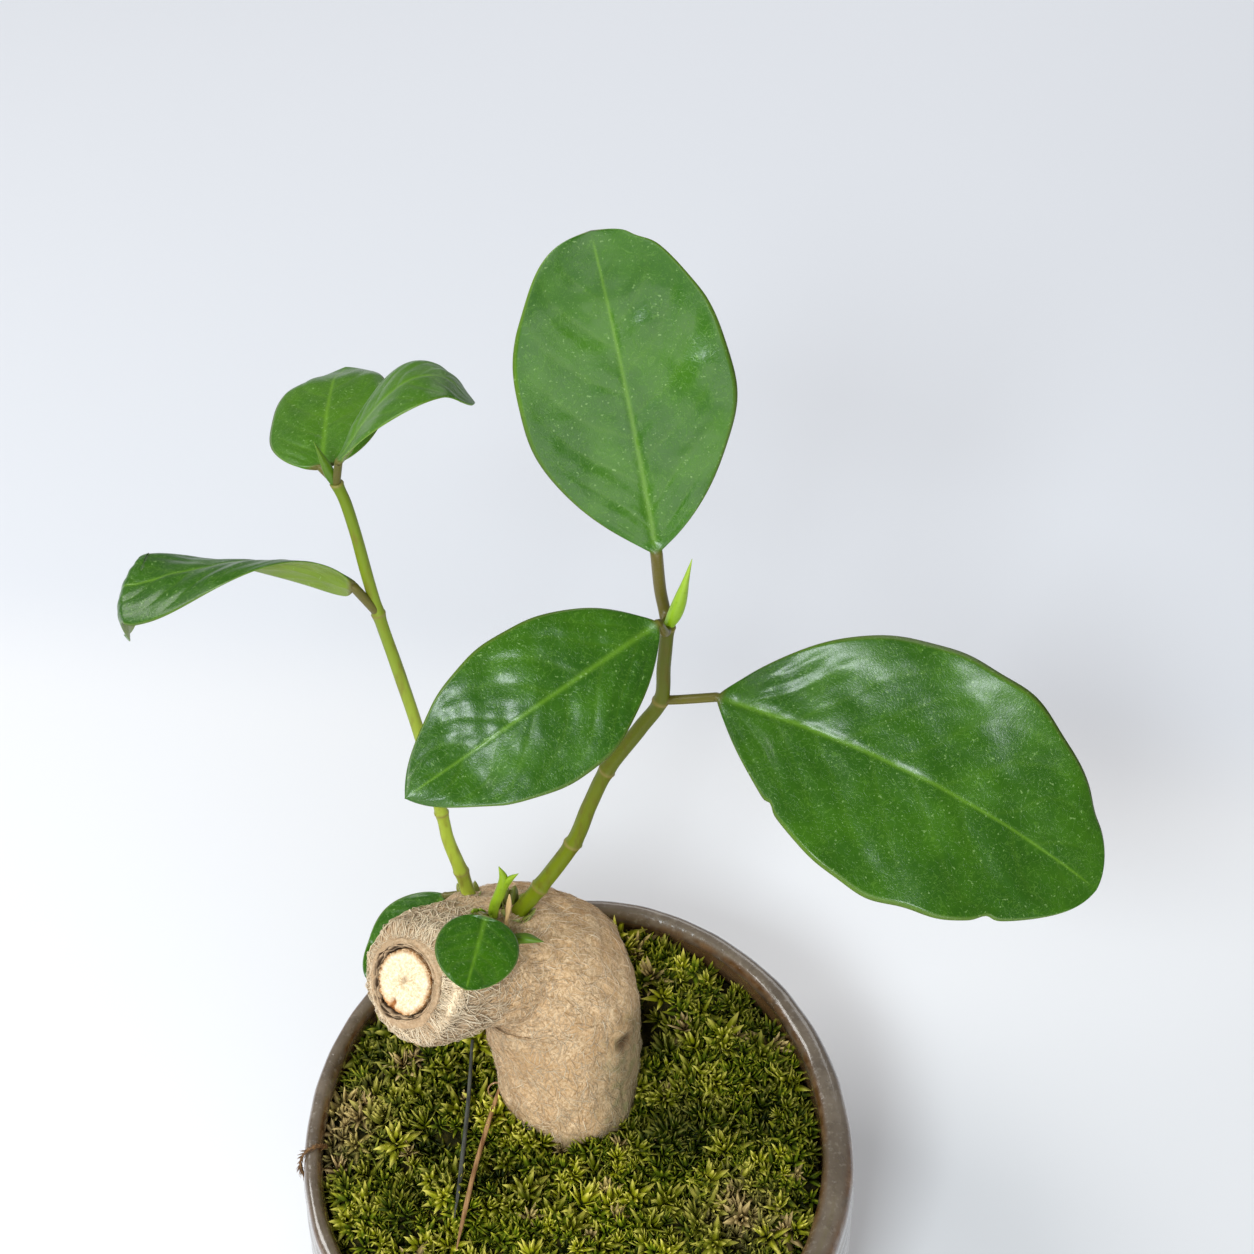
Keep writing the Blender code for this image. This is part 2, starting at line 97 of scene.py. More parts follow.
def smooth_line(knots, count):
    """Count points at even steps along a curve through the knots. Extra columns ride along."""
    knots = np.array(knots, float)
    ends = np.vstack([2 * knots[0] - knots[1], knots, 2 * knots[-1] - knots[-2]])
    t = np.linspace(0, 1, 40, endpoint=False)[:, None]
    run = []
    for a, b, c, d in zip(ends, ends[1:], ends[2:], ends[3:]):
        run.append(
            b + (c - a) * (t / 2)
            + (2 * a - 5 * b + 4 * c - d) * (t * t / 2)
            + (3 * b - a - 3 * c + d) * (t * t * t / 2)
        )
    run = np.vstack(run + [knots[-1:]])
    far = walked(run)
    stops = np.linspace(0, far[-1], count)
    return np.stack([np.interp(stops, far, column) for column in run.T], 1)


def directions(line):
    """Along, side and up at each point of a line. Side and up never twist round it."""
    along = unit(np.gradient(line, axis=0))
    side = np.empty_like(along)
    side[0] = (1, 0, 0) - along[0] * along[0, 0]
    for i in range(1, len(line)):
        side[i] = side[i - 1] - along[i] * (along[i] @ side[i - 1])
    side = unit(side)
    return along, side, np.cross(along, side)


# %% [markdown]
# ## Helpers for surfaces
#
# Bark, glaze and leaves are never quite even. A handful of crossed sine waves with random
# directions makes soft lumps of any size, costs little, and comes out the same on every run
# because each call has its own seed. It moves real points, so the lumps also show in outline.

# %% Lumps and bells
def lumps(places, size, seed, layers=1):
    """Soft random heights of about -1 to 1. Size is a wave's length, layers adds finer ones."""
    draw = np.random.default_rng(seed)
    total = np.zeros(places.shape[:-1])
    for layer in range(layers):
        turns = draw.normal(size=(7, places.shape[-1]))
        turns = unit(turns) * draw.uniform(0.7, 1.3, (7, 1)) * TURN / (size * 0.5 ** layer)
        shifts = draw.uniform(0, TURN, 7)
        total += 0.55 ** layer * np.sin(places @ turns.T + shifts).sum(-1) / 3
    return total


def field(*parts):
    """Several grids of numbers, stretched to one size, as points."""
    return np.stack(np.broadcast_arrays(*parts), -1)


def circle(count):
    """The angles of count even points round a circle, as one row."""
    return (np.arange(count) * TURN / count)[None, :]


def polar(reach, turn, *level):
    """Points at a distance and an angle, with a height if one is given."""
    return field(reach * np.cos(turn), reach * np.sin(turn), *level)


def bell(distance, width):
    """1 at distance 0, falling smoothly to nothing a few widths away."""
    return np.exp(-(distance / width) ** 2)


def rise(value, low, high):
    """0 below low, 1 above high, smooth in between."""
    share = np.clip((value - low) / (high - low), 0, 1)
    return share * share * (3 - 2 * share)


# %% [markdown]
# ## Helpers for meshes
#
# Two ways of making a mesh cover this plant. A loft joins rings of points into one closed skin
# and makes anything round or leaf-shaped. A set of blades makes thousands of tiny closed
# three-sided spikes at once, for moss leaflets and bark fibres. Both are done with whole
# arrays, since a Python loop over that many points would be slow.

# %% Loft
def loft(rings):
    """The points and faces of a closed skin through an array of rings x points x 3."""
    count, around = rings.shape[:2]
    here = np.arange(around)
    there = (here + 1) % around
    step = np.arange(count - 1)[:, None] * around
    quads = np.stack([step + here, step + there, step + around + there, step + around + here], -1)
    points = np.vstack([rings.reshape(-1, 3), rings[:1].mean(1), rings[-1:].mean(1)])
    foot = np.full(around, count * around)
    last = (count - 1) * around
    faces = quads.reshape(-1, 4).tolist()
    faces += np.stack([foot, there, here], -1).tolist()
    faces += np.stack([foot + 1, last + here, last + there], -1).tolist()
    return points, faces

# %% Blades and joining
def blades(lines, widths, uppers, keel=0.5):
    """The points and faces of many closed three-sided blades. Lines is blades x points x 3."""
    along = unit(np.gradient(lines, axis=1))
    side = unit(np.cross(along, uppers))
    upper = np.cross(side, along)
    width = widths[..., None]
    rings = np.stack(
        [lines + side * width, lines - side * width, lines - upper * width * keel], 2
    )
    many, count = lines.shape[:2]
    here = np.arange(3)
    there = (here + 1) % 3
    start = (np.arange(many)[:, None] * count + np.arange(count - 1)) * 3
    start = start.reshape(-1, 1)
    quads = np.stack([start + here, start + there, start + 3 + there, start + 3 + here], -1)
    foot = np.arange(many)[:, None] * count * 3
    tip = foot + (count - 1) * 3
    faces = quads.reshape(-1, 4).tolist()
    faces += (foot + (2, 1, 0)).tolist() + (tip + (0, 1, 2)).tolist()
    return rings.reshape(-1, 3), faces


def join(*parts):
    """Several (points, faces) as one."""
    points, faces, total = [], [], 0
    for part_points, part_faces in parts:
        points.append(part_points)
        faces += [[corner + total for corner in face] for face in part_faces]
        total += len(part_points)
    return np.vstack(points), faces


# %% [markdown]
# ## Filing a piece
#
# A finished piece rides on the model's one body and says which CAD solids it stands for. Those
# solids are then hidden. Values that the finish needs later, such as how near a vein a point lies,
# are stored on the mesh's points, so they hold whatever way the model is turned or exported.

# %% Make a piece from points and faces
def put(name, data):
    """A new object in the scene."""
    made = bpy.data.objects.new(name, data)
    bpy.context.scene.collection.objects.link(made)
    return made


def skin(name, points, faces):
    """A mesh from points in millimetres, whose faces are turned outwards."""
    mesh = bpy.data.meshes.new(name)
    mesh.from_pydata((points * MM).tolist(), [], faces)
    fans = [(face[0], b, c) for face in faces for b, c in zip(face[1:], face[2:])]
    a, b, c = points[np.array(fans)].transpose(1, 0, 2)
    signed_volume = np.einsum("ij,ij->", a, np.cross(b, c))
    if signed_volume < 0:
        mesh.flip_normals()
    return mesh


def piece(name, shape, finish, stands_for=(), marks=None):
    """A closed smooth mesh, filed on the frame. Points past the end of a mark get 0."""
    points, faces = shape
    name = name + "_grown" if name in stands_for else name
    mesh = skin(name, points, faces)
    for mark, values in (marks or {}).items():
        stored = mesh.attributes.new(mark, "FLOAT", "POINT")
        filled = np.zeros(len(points), np.float32)
        filled[: np.size(values)] = np.ravel(values)
        stored.data.foreach_set("value", filled)
    mesh.shade_smooth()
    mesh.materials.append(finish)
    made = put(name, mesh)
    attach(made, "root")
    if stands_for:
        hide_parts(*stands_for)
    print(f"{name}: {len(points)} points, {len(faces)} faces")
    return made


# %% [markdown]
# ## Shader maths as plain expressions
#
# A procedural finish is a small sum: noise times this, plus a stain where that. Drawn as nodes
# it soon turns into a tangle, so one little class stands for a wire. Adding, taking away or
# multiplying wires writes the Math nodes, and every other node comes from one method that takes
# its type, its settings and what goes into its sockets.

# %% Colours and wires
def tone(red, green, blue):
    """A paint-chart colour with parts from 0 to 255, as Blender's linear colour."""
    parts = [part / 255 for part in (red, green, blue)]
    return (*[p / 12.92 if p < 0.04 else ((p + 0.055) / 1.055) ** 2.4 for p in parts], 1)


class Wire:
    """A value on its way through a finish."""

    def __init__(self, finish, socket):
        self.finish = finish
        self.socket = socket

    def sum(self, operation, first, second):
        return self.finish.node("ShaderNodeMath", {"operation": operation}, {0: first, 1: second})

    def __add__(self, other):
        return self.sum("ADD", self, other)

    def __mul__(self, other):
        return self.sum("MULTIPLY", self, other)

    def __sub__(self, other):
        return self.sum("SUBTRACT", self, other)

    def __rsub__(self, other):
        return self.sum("SUBTRACT", other, self)

    __radd__ = __add__
    __rmul__ = __mul__

# %% [markdown]
# ### A finish in the making
#
# A finish starts from Blender's Principled shader, whose sockets are named after what they do to
# a surface. Noise and cells are measured in millimetres in the piece's own space, so a grain
# keeps its real size on every piece, and cover() puts colour, roughness and relief together.

# %% Finishes
class Finish:
    """A material in the making. Fixed holds the shader sockets that are the same all over."""

    def __init__(self, name, fixed):
        self.material = bpy.data.materials.new(name)
        self.material.use_nodes = True
        self.tree = self.material.node_tree
        self.shader = self.tree.nodes["Principled BSDF"]
        for socket, value in fixed.items():
            self.shader.inputs[socket].default_value = value
        self.place = self.node("ShaderNodeTexCoord", {}, {}, out="Object")

    def node(self, kind, settings, values, out=0):
        """One node: its settings are set first, then its sockets get values or wires."""
        made = self.tree.nodes.new(kind)
        for name, value in settings.items():
            setattr(made, name, value)
        for socket, value in values.items():
            if isinstance(value, Wire):
                self.tree.links.new(value.socket, made.inputs[socket])
            else:
                made.inputs[socket].default_value = value
        return Wire(self, made.outputs[out])

    def noise(self, size, detail=2.0, rough=0.5, place=None, warp=0.0):
        """Cloudy noise from 0 to 1 whose clouds are about size millimetres."""
        return self.node(
            "ShaderNodeTexNoise", {},
            {"Vector": place or self.place, "Scale": 1 / (size * MM), "Detail": detail,
             "Roughness": rough, "Distortion": warp},
        )

    def cells(self, size, feature="F1"):
        """Distance pattern of random cells about size millimetres wide."""
        return self.node(
            "ShaderNodeTexVoronoi", {"feature": feature},
            {"Vector": self.place, "Scale": 1 / (size * MM)}, out="Distance",
        )

    def stretched(self, x, y, z):
        """The place on the piece, with each direction multiplied."""
        return self.node(
            "ShaderNodeVectorMath", {"operation": "MULTIPLY"}, {0: self.place, 1: (x, y, z)}
        )

    def mark(self, name):
        """A value stored on the mesh's points."""
        return self.node("ShaderNodeAttribute", {"attribute_name": name}, {}, out="Fac")

    def height(self):
        """How high above the table, in millimetres."""
        return self.node("ShaderNodeSeparateXYZ", {}, {0: self.place}, out="Z") * (1 / MM)

    def between(self, value, low, high):
        """0 below low, 1 above high, smooth in between."""
        return self.node(
            "ShaderNodeMapRange", {"interpolation_type": "SMOOTHSTEP"},
            {"Value": value, "From Min": low, "From Max": high},
        )

    def mix(self, share, first, second):
        """A colour between two."""
        return self.node(
            "ShaderNodeMix", {"data_type": "RGBA"}, {0: share, 6: first, 7: second}, out=2
        )

    def feed(self, socket, value):
        """A wire into one of the shader's own sockets."""
        self.tree.links.new(value.socket, self.shader.inputs[socket])

    def cover(self, colour, rough, height=None, depth=0.0, strength=1.0):
        """Puts the finish together. Height, from 0 to 1, is a relief depth millimetres deep."""
        self.feed("Base Color", colour)
        self.feed("Roughness", rough)
        if height:
            sockets = {"Height": height, "Distance": depth * MM, "Strength": strength}
            self.feed("Normal", self.node("ShaderNodeBump", {}, sockets))
        return self.material


# %% [markdown]
# ## The leaf's finish
#
# A fig leaf is leathery: deep green, smooth enough to carry a broad soft reflection, with a
# pale midrib, faint side veins and a fine net between them. The veins come from values stored on
# the mesh, so that colour and shape agree. The net is too fine for mesh and is left to bump.
# The underside is paler and duller, and the stalk turns brown.

# %% Leaf finish
def leaf_finish(name, deep, bright, stalk, gloss=0.29):
    """A leaf's green from deep to bright, with a stalk of its own colour."""
    finish = Finish(name, {"Coat Weight": 0.18, "Coat Roughness": 0.22, "Specular IOR Level": 0.3})
    vein = finish.mark("vein")
    rib = finish.mark("rib")
    under = finish.mark("under")
    on_blade = finish.mark("blade")
    margin = finish.mark("margin")
    along, across = finish.mark("flow") * MM, finish.mark("out") * MM * 0.2
    flow = finish.node("ShaderNodeCombineXYZ", {}, {"X": along, "Y": across})
    streak = finish.noise(0.8, 3, 0.6, flow)
    curls = finish.noise(1.5, 2, 0.5, warp=1.6) - 0.5
    curls = 1 - finish.between(
        finish.node("ShaderNodeMath", {"operation": "ABSOLUTE"}, {0: curls}), 0.0, 0.035
    )
    cloud = finish.between(finish.noise(9, 3), 0.35, 0.7)
    fine = finish.noise(1.1, 3, 0.6)
    green = finish.mix(cloud * 0.4 + fine * 0.25 + streak * 0.2, deep, bright)
    # The curls are a real fine wrinkle in the relief below, and here they are also painted a
    # lighter green: a painted sparkle.
    green = finish.mix(curls * 0.22, green, tone(110, 156, 56))
    green = finish.mix(vein * 0.10, green, tone(104, 144, 34))
    green = finish.mix(rib * 0.45, green, tone(112, 156, 36))
    green = finish.mix(margin * 0.45, green, tone(140, 164, 70))
    pale = finish.mix(cloud * 0.5 + vein * 0.3, tone(104, 128, 30), tone(128, 150, 48))
    green = finish.mix(under, green, pale)
    speck = finish.between(finish.noise(0.5, 1), 0.68, 0.76)
    green = finish.mix(speck * 0.3, green, tone(170, 204, 130))
    bark = finish.mix(finish.noise(0.9, 3), stalk, tone(96, 84, 40))
    green = finish.mix(on_blade, bark, green)
    rough = gloss + streak * 0.08 - 0.06 + finish.noise(5, 2) * 0.1 + under * 0.18
    rough = rough + (1 - on_blade) * 0.08
    net = finish.cells(0.62, "DISTANCE_TO_EDGE")
    grain = finish.noise(0.34, 2, warp=1.2)
    relief = finish.between(net, 0, 0.22) * 0.2 + grain * 0.3 + streak * 0.2 + curls * 0.3
    return finish.cover(green, rough, relief, 0.085, 0.6)


leaf_green = leaf_finish("leaf_green", tone(26, 70, 0), tone(62, 110, 0), tone(92, 92, 10))
# A lighter copy of the leaf green for the top leaf, which faces the bright room: painted light.
painted_light_leaf_green = leaf_finish(
    "painted_light_leaf_green", tone(34, 84, 0), tone(68, 118, 4), tone(92, 86, 8)
)
young_leaf_green = leaf_finish(
    "young_leaf_green", tone(46, 92, 0), tone(82, 126, 12), tone(84, 90, 12), 0.34
)
print("leaf finishes:", leaf_green.name, painted_light_leaf_green.name, young_leaf_green.name)

# %% [markdown]
# ## One recipe for every leaf
#
# A leaf and its stalk are grown in one, so they are one loft. Each ring is a thin lens. Along
# the stalk the lens is round, and past the blade's base it opens into a flat section. A sine
# raised to a changing power gives the outline, blunter or sharper at either end. The midrib is
# pressed in from above and stands out below, side veins curve forward towards the margin, and
# the blade swells a little between them, which is what breaks up the reflections.

# %% Blade outline and midrib
LEAF_RINGS = 170
STALK_RINGS = 26
ACROSS = 84
BLADE_THICKNESS = 0.45


def outline(share, widest, base_taper, tip_taper):
    """A blade's width from base (0) to tip (1), as a share of its widest."""
    bend = math.log(0.5) / math.log(widest)
    taper = base_taper + (tip_taper - base_taper) * share
    return np.sin(np.pi * share ** bend) ** taper


def midrib(base, length, heading, facing, facing_tip, twist, arch, bend, tip_curl):
    """Points from a blade's base to its tip, where its upper side looks, and their shares."""
    heading, facing = unit(np.array(heading, float)), unit(np.array(facing, float))
    facing_tip = facing if facing_tip is None else unit(np.array(facing_tip, float))
    share = (1 - np.cos(np.pi * np.linspace(0, 1, LEAF_RINGS))) / 2
    turned = np.clip((share - twist[0]) / (twist[1] - twist[0]), 0, 1)[:, None]
    upper = unit(facing + (facing_tip - facing) * turned)
    middle = (4 * share * (1 - share))[:, None]
    line = base + heading * (length * share[:, None]) + upper * (arch * middle)
    line += np.cross(heading, upper) * (bend * middle)
    line += upper * (tip_curl * rise(share, 0.75, 1.0)[:, None])
    return line, upper, share


# %% Leaf builder
def leaf(
    name, foot, stalk, length, width, heading, facing, facing_tip=None, arch=0.0, bend=0.0,
    cup=0.0, widest=0.5, base_taper=0.85, tip_taper=0.5, stalk_radius=0.75, veins=8, puff=0.11,
    wave=0.5, seed=1, nicks=(), finish=leaf_green, tip_curl=0.0, twist=(0.0, 1.0),
):
    """A leaf that leaves foot along the stalk's points and opens into a blade.

    Heading is where the blade points and facing is where its upper side looks. Arch lifts the
    blade's middle, bend moves it sideways and cup lifts the margins. Nicks are (place along,
    side, depth, spread) of dents in the margin. Twist is the part of the blade over which
    facing turns to facing_tip.
    """
    blade, upper, share = midrib(
        stalk[-1], length, heading, facing, facing_tip, twist, arch, bend, tip_curl
    )
    stem = smooth_line([foot, *stalk], STALK_RINGS)[:-1]
    spine = np.vstack([stem, blade])
    along = unit(np.gradient(spine, axis=0))
    upper = np.vstack([np.repeat(upper[:1], len(stem), 0), upper])
    side = unit(np.cross(along, upper))
    normal = np.cross(side, along)
    s = np.concatenate([np.zeros(len(stem)), share])[:, None]

    # once across the upper side and back below it, flat on the blade and round on the stalk
    turn = np.linspace(1, -1, ACROSS + 1)
    turn = np.concatenate([turn, turn[-2:0:-1]])[None, :]
    top = np.concatenate([np.ones(ACROSS + 1), -np.ones(ACROSS - 1)])[None, :]
    top = np.where(np.abs(turn) > 0.9999, 0, top)
    opened = rise(s, 0.0, 0.05)
    u = np.sin(turn * np.pi / 2) * (1 - opened) + (0.42 * turn + 0.58 * turn ** 3) * opened

    half = width / 2 * outline(np.clip(s, 0, 0.9999), widest, base_taper, tip_taper)
    half = half * (1 + 0.018 * lumps(field(s * length, np.sign(u) * 40), 12, seed + 5))
    for place, which, depth, spread in nicks:
        half = half * (1 - depth * bell(s - place, spread) * (np.sign(u) == which))
    half = np.maximum(half, stalk_radius * np.where(s > 0.5, 0.12, 1))
    x = u * half
    y = s * length
    edge = np.abs(u)

    # veins curve forward to the margin, and take turns on the two sides
    spacing = 1 / veins
    forward = s - 0.20 * edge - 0.16 * edge ** 3 + np.where(u > 0, 0, 0.5 * spacing)
    forward = forward + 0.010 * lumps(field(x, y), 14, seed)
    phase = forward / spacing
    near = np.abs(phase - np.round(phase)) * spacing * length
    fade = rise(s, 0.03, 0.14) * (1 - rise(s, 0.86, 0.98)) * (1 - rise(edge, 0.78, 0.98))
    rib_width = 0.16 + 0.34 * (1 - s)
    rib = bell(x, rib_width) * opened * (1 - rise(s, 0.93, 1.0))
    vein = bell(near, 0.42) * fade * (1 - rib)
    swell = (0.5 - np.cos(TURN * phase) / 2) * fade * rise(np.abs(x), 0.4, 3.0)
    flat = field(x, y)
    surface = cup * half * u ** 2 + puff * swell * (1 - rise(edge, 0.6, 1.0))
    surface = surface + wave * edge ** 2 * lumps(flat, 22, seed + 2) * opened
    surface = surface + 0.16 * lumps(flat, 10, seed + 3) * opened * fade
    surface = surface + 0.022 * lumps(field(forward * length, x / 3), 2.8, seed + 4) * opened * fade
    surface = surface + 0.05 * lumps(flat, 4, seed + 6) * opened * fade
    surface = surface - 0.26 * bell(x, rib_width * 1.8) * opened * (1 - s)
    surface = surface - 0.05 * vein

    lens = np.sqrt(np.clip(1 - u ** 2, 0, 1))
    round_lens = lens * stalk_radius
    flat_lens = BLADE_THICKNESS / 2 * np.clip(1 - u ** 8, 0, 1) ** 0.5
    thick = round_lens * (1 - opened) + flat_lens * opened
    below = stalk_radius * 0.85 * bell(x, rib_width * 0.9) * (1 - s) ** 1.3 * opened
    height = surface + top * thick - np.where(top < 0, below + 0.5 * vein * 0.25, 0)
    rings = spine[:, None] + side[:, None] * x[..., None] + normal[:, None] * height[..., None]

    blank = np.zeros_like(x)
    marks = {
        "vein": vein, "rib": rib + blank, "under": (top < 0) + blank,
        "blade": rise(s, 0.0, 0.025) + blank,
        "margin": rise(edge, 0.965, 0.995) * opened, "flow": forward * length, "out": x,
    }
    piece(name, loft(rings), finish, [name], marks)


# %% [markdown]
# ## The two shoots
#
# The shoots are this year's wood: green, slim, and jointed like bamboo, with a slight swelling
# and a ring scar where each leaf once had its sheath. A tube whose radius follows the distance
# along it can carry both. The right shoot has begun to turn olive brown, the left one is still
# yellow green, so each gets its own pair of colours from the same finish.

# %% Shoot finish
def shoot_finish(name, low, high, speckle):
    """A green stem's skin, one colour at its foot and another at its tip."""
    finish = Finish(name, {"Specular IOR Level": 0.3})
    streak = finish.noise(1.3, 3, 0.6, finish.stretched(1, 1, 0.22))
    green = finish.mix(finish.mark("up"), low, high)
    green = finish.mix(finish.between(streak, 0.45, 0.75) * 0.55, green, speckle)
    green = finish.mix(finish.mark("ring") * 0.8, green, tone(132, 118, 60))
    relief = streak * 0.7 + finish.noise(0.4, 2) * 0.3
    return finish.cover(green, 0.42 + streak * 0.2, relief, 0.12, 0.5)


olive_skin = shoot_finish("olive_skin", tone(108, 122, 0), tone(78, 84, 0), tone(92, 78, 14))
fresh_skin = shoot_finish("fresh_skin", tone(166, 180, 56), tone(100, 122, 8), tone(112, 92, 30))

# %% [markdown]
# ### A tube that swells where it should
#
# One tube recipe serves every stem, root, bud and needle. It takes the line with a radius at
# each point, and a function that may add to that radius by distance and angle.

# %% Tube builder
def tube(line, around=28, swell=None):
    """Rings round a line of x, y, z, radius. Swell(distance, angle) adds to the radius."""
    centre, radius = line[:, :3], line[:, 3:4]
    _, side, up = directions(centre)
    distance = walked(centre)[:, None]
    angle = circle(around)
    reach = radius + (swell(distance, angle) if swell else 0 * angle)
    return (
        centre[:, None]
        + side[:, None] * (np.cos(angle) * reach)[..., None]
        + up[:, None] * (np.sin(angle) * reach)[..., None]
    ), distance

# %% Shoot builder
SHOOT_AROUND = 28
SHOOT_TAPER = 0.34


def shoot(name, knots, radius, joints, finish):
    """A jointed green shoot. Joints are the knots where it swells and carries a ring scar."""
    knots = plant(*knots)
    share = np.linspace(0, 1, len(knots))[:, None]
    line = smooth_line(np.hstack([knots, radius * (1 - SHOOT_TAPER * share)]), 300)
    at = [int(np.argmin(np.linalg.norm(line[:, :3] - knots[joint], axis=1))) for joint in joints]
    far = walked(line)

    def swell(distance, angle):
        added = 0.03 * lumps(field(distance / 5, 2 * np.cos(angle), 2 * np.sin(angle)), 1.6, 4)
        for joint in at:
            past = distance - far[joint] - 0.25 * np.cos(angle - joint)
            added = added + 0.16 * bell(past, 1.1) + 0.10 * bell(past, 0.22)
            added = added - 0.06 * bell(past - 0.5, 0.2)
        return added

    rings, distance = tube(line, SHOOT_AROUND, swell)
    scars = sum(bell(distance - far[joint], 0.3) for joint in at)
    up, ring = (
        np.repeat(values, SHOOT_AROUND, 1)
        for values in (distance / distance.max(), np.clip(scars, 0, 1))
    )
    marks = {"up": np.append(up, [0, 1]), "ring": ring}
    piece(name, loft(rings), finish, [name], marks)

# %% Both shoots
RIGHT_KNOTS = [
    (-11.6, 20.4, 42), (-10.7, 20.5, 45.2), (-6, 22, 52.6), (-0.2, 24, 62.9), (2.7, 25, 72.4),
    (5.6, 26, 80.7), (10.9, 28, 89.2), (14.1, 29, 95.1), (14.5, 30, 102.6), (15, 31, 110.4),
    (15.1, 31.1, 111.8),
]
LEFT_KNOTS = [
    (-17.6, 23.2, 41.5), (-18.5, 24.7, 45.5), (-19.6, 25.8, 51.8), (-21.4, 27, 59.4),
    (-22.2, 28, 66.1), (-25.2, 31, 87.4), (-29.5, 35, 109.2), (-32.3, 38, 128.1),
    (-33.8, 39, 133.9),
]
shoot("shoot_right", RIGHT_KNOTS, 1.5, (2, 3, 5, 7, 9), olive_skin)
shoot("shoot_left", LEFT_KNOTS, 1.25, (2, 4, 6, 8), fresh_skin)

# %% [markdown]
# ## The eight leaves
#
# Each leaf is placed by the node that its stalk leaves and by where its blade points and looks.
# The top leaf stands up and shows its whole face, the far left one twists and shows its pale
# underside near the stalk, and the two small ones grow straight from the trunk's bend.

# %% Leaves of the right shoot
def from_node(knots, node, *offsets):
    """A shoot's node, and the points of a stalk that leaves it."""
    foot = plant(knots[node])[0]
    return foot, [foot + offset for offset in np.array(offsets, float)]


foot, stalk = from_node(RIGHT_KNOTS, 7, (3, -0.6, 0.9), (8.6, -2, 3.3))
leaf(
    "leaf_right", foot, stalk, length=65, width=40.4, heading=(0.89, -0.41, -0.21),
    facing=(0.11, -0.51, 0.86), arch=4.2, bend=-2.4, cup=0.1, widest=0.49, tip_taper=0.56,
    tip_curl=-0.5, veins=8, wave=0.7, seed=11,
    nicks=((0.21, 1, 0.05, 0.012), (0.8, 1, 0.06, 0.02), (0.9, -1, 0.05, 0.03)),
)
foot, stalk = from_node(RIGHT_KNOTS, 9, (-0.5, -2.2, 1.6), (-1.5, -3.2, 4.8))
leaf(
    "leaf_middle", foot, stalk, length=45.3, width=24.7, heading=(-0.81, -0.52, -0.26),
    facing=(-0.09, -0.59, 0.8), arch=3.3, widest=0.48, base_taper=0.77, tip_taper=0.75,
    tip_curl=2.8, veins=7, wave=0.7, seed=23,
)
foot, stalk = from_node(RIGHT_KNOTS, 9, (-0.5, 2.6, 1.2), (-1.2, 3.7, 5), (-1.8, 4, 12.4))
leaf(
    "leaf_top", foot, stalk, length=50.6, width=31.3, heading=(-0.19, 0.42, 0.89),
    facing=(0.06, -0.91, 0.41), bend=0.4, cup=0.11, widest=0.52, base_taper=0.79,
    tip_taper=0.38, tip_curl=2.4, stalk_radius=0.95, veins=7, wave=0.6, seed=37,
    nicks=((0.97, 1, 0.12, 0.02),), finish=painted_light_leaf_green,
)

# %% Leaves of the left shoot
foot, stalk = from_node(LEFT_KNOTS, 6, (-3, -0.7, 6.9))
leaf(
    "leaf_far_left", foot, stalk, length=43, width=16, heading=(-1, 0.03, -0.07),
    facing=(0.14, 0.98, 0.15), facing_tip=(-0.46, -0.04, 0.89), twist=(0.02, 0.71), arch=4.9,
    bend=-1.9, cup=-0.18, base_taper=0.4, tip_taper=0.76, tip_curl=-12, veins=7, wave=0.3,
    seed=41,
)
foot, stalk = from_node(LEFT_KNOTS, 8, (-2.4, 2.5, 0.6))
leaf(
    "leaf_left_back", foot, stalk, length=26.5, width=19, heading=(0.01, 0.99, -0.11),
    facing=(-0.22, -0.28, 0.93), arch=1.3, cup=-0.08, widest=0.48, base_taper=0.5,
    tip_taper=0.5, tip_curl=-2.8, stalk_radius=0.6, veins=6, wave=0.3, seed=53,
    finish=young_leaf_green,
)
foot, stalk = from_node(LEFT_KNOTS, 8, (1, -1.3, 5.7))
leaf(
    "leaf_left_front", foot, stalk, length=22.1, width=15.6, heading=(0.89, 0.23, 0.38),
    facing=(0.06, 0.33, 0.94), arch=7.2, cup=-0.06, widest=0.47, base_taper=0.77,
    tip_taper=0.62, tip_curl=-1.4, stalk_radius=0.6, veins=6, puff=0.05, wave=0.25, seed=61,
    finish=young_leaf_green,
)

# %% Leaves of the trunk's bend
BEND = plant((-19, 14.8, 39.3))[0]
stalk = [BEND + np.array(point) for point in ((2.84, 2.6, 11.75), (4.2, -0.16, 15.5))]
leaf(
    "leaf_small_front", plant((-16.6, 19, 46))[0], stalk, length=13.5, width=14,
    heading=(-0.2, -0.96, -0.1), facing=(0.04, -0.45, 0.88), cup=-0.05, widest=0.44,
    base_taper=0.4, tip_taper=0.56, stalk_radius=0.6, veins=5, puff=0.02, wave=0.2, seed=71,
)
stalk = [BEND + np.array(point) for point in ((-0.43, 14.2, -0.85), (-4.6, 15.7, -2.3))]
leaf(
    "leaf_small_back", plant((-17, 22, 35.5))[0], stalk, length=22, width=13,
    heading=(-0.64, -0.36, -0.68), facing=(-0.11, -0.49, 0.86), arch=-0.7, cup=-0.03,
    base_taper=0.69, tip_taper=0.6, tip_curl=2.9, stalk_radius=0.6, veins=6, puff=0.05,
    wave=0.3, seed=83,
)
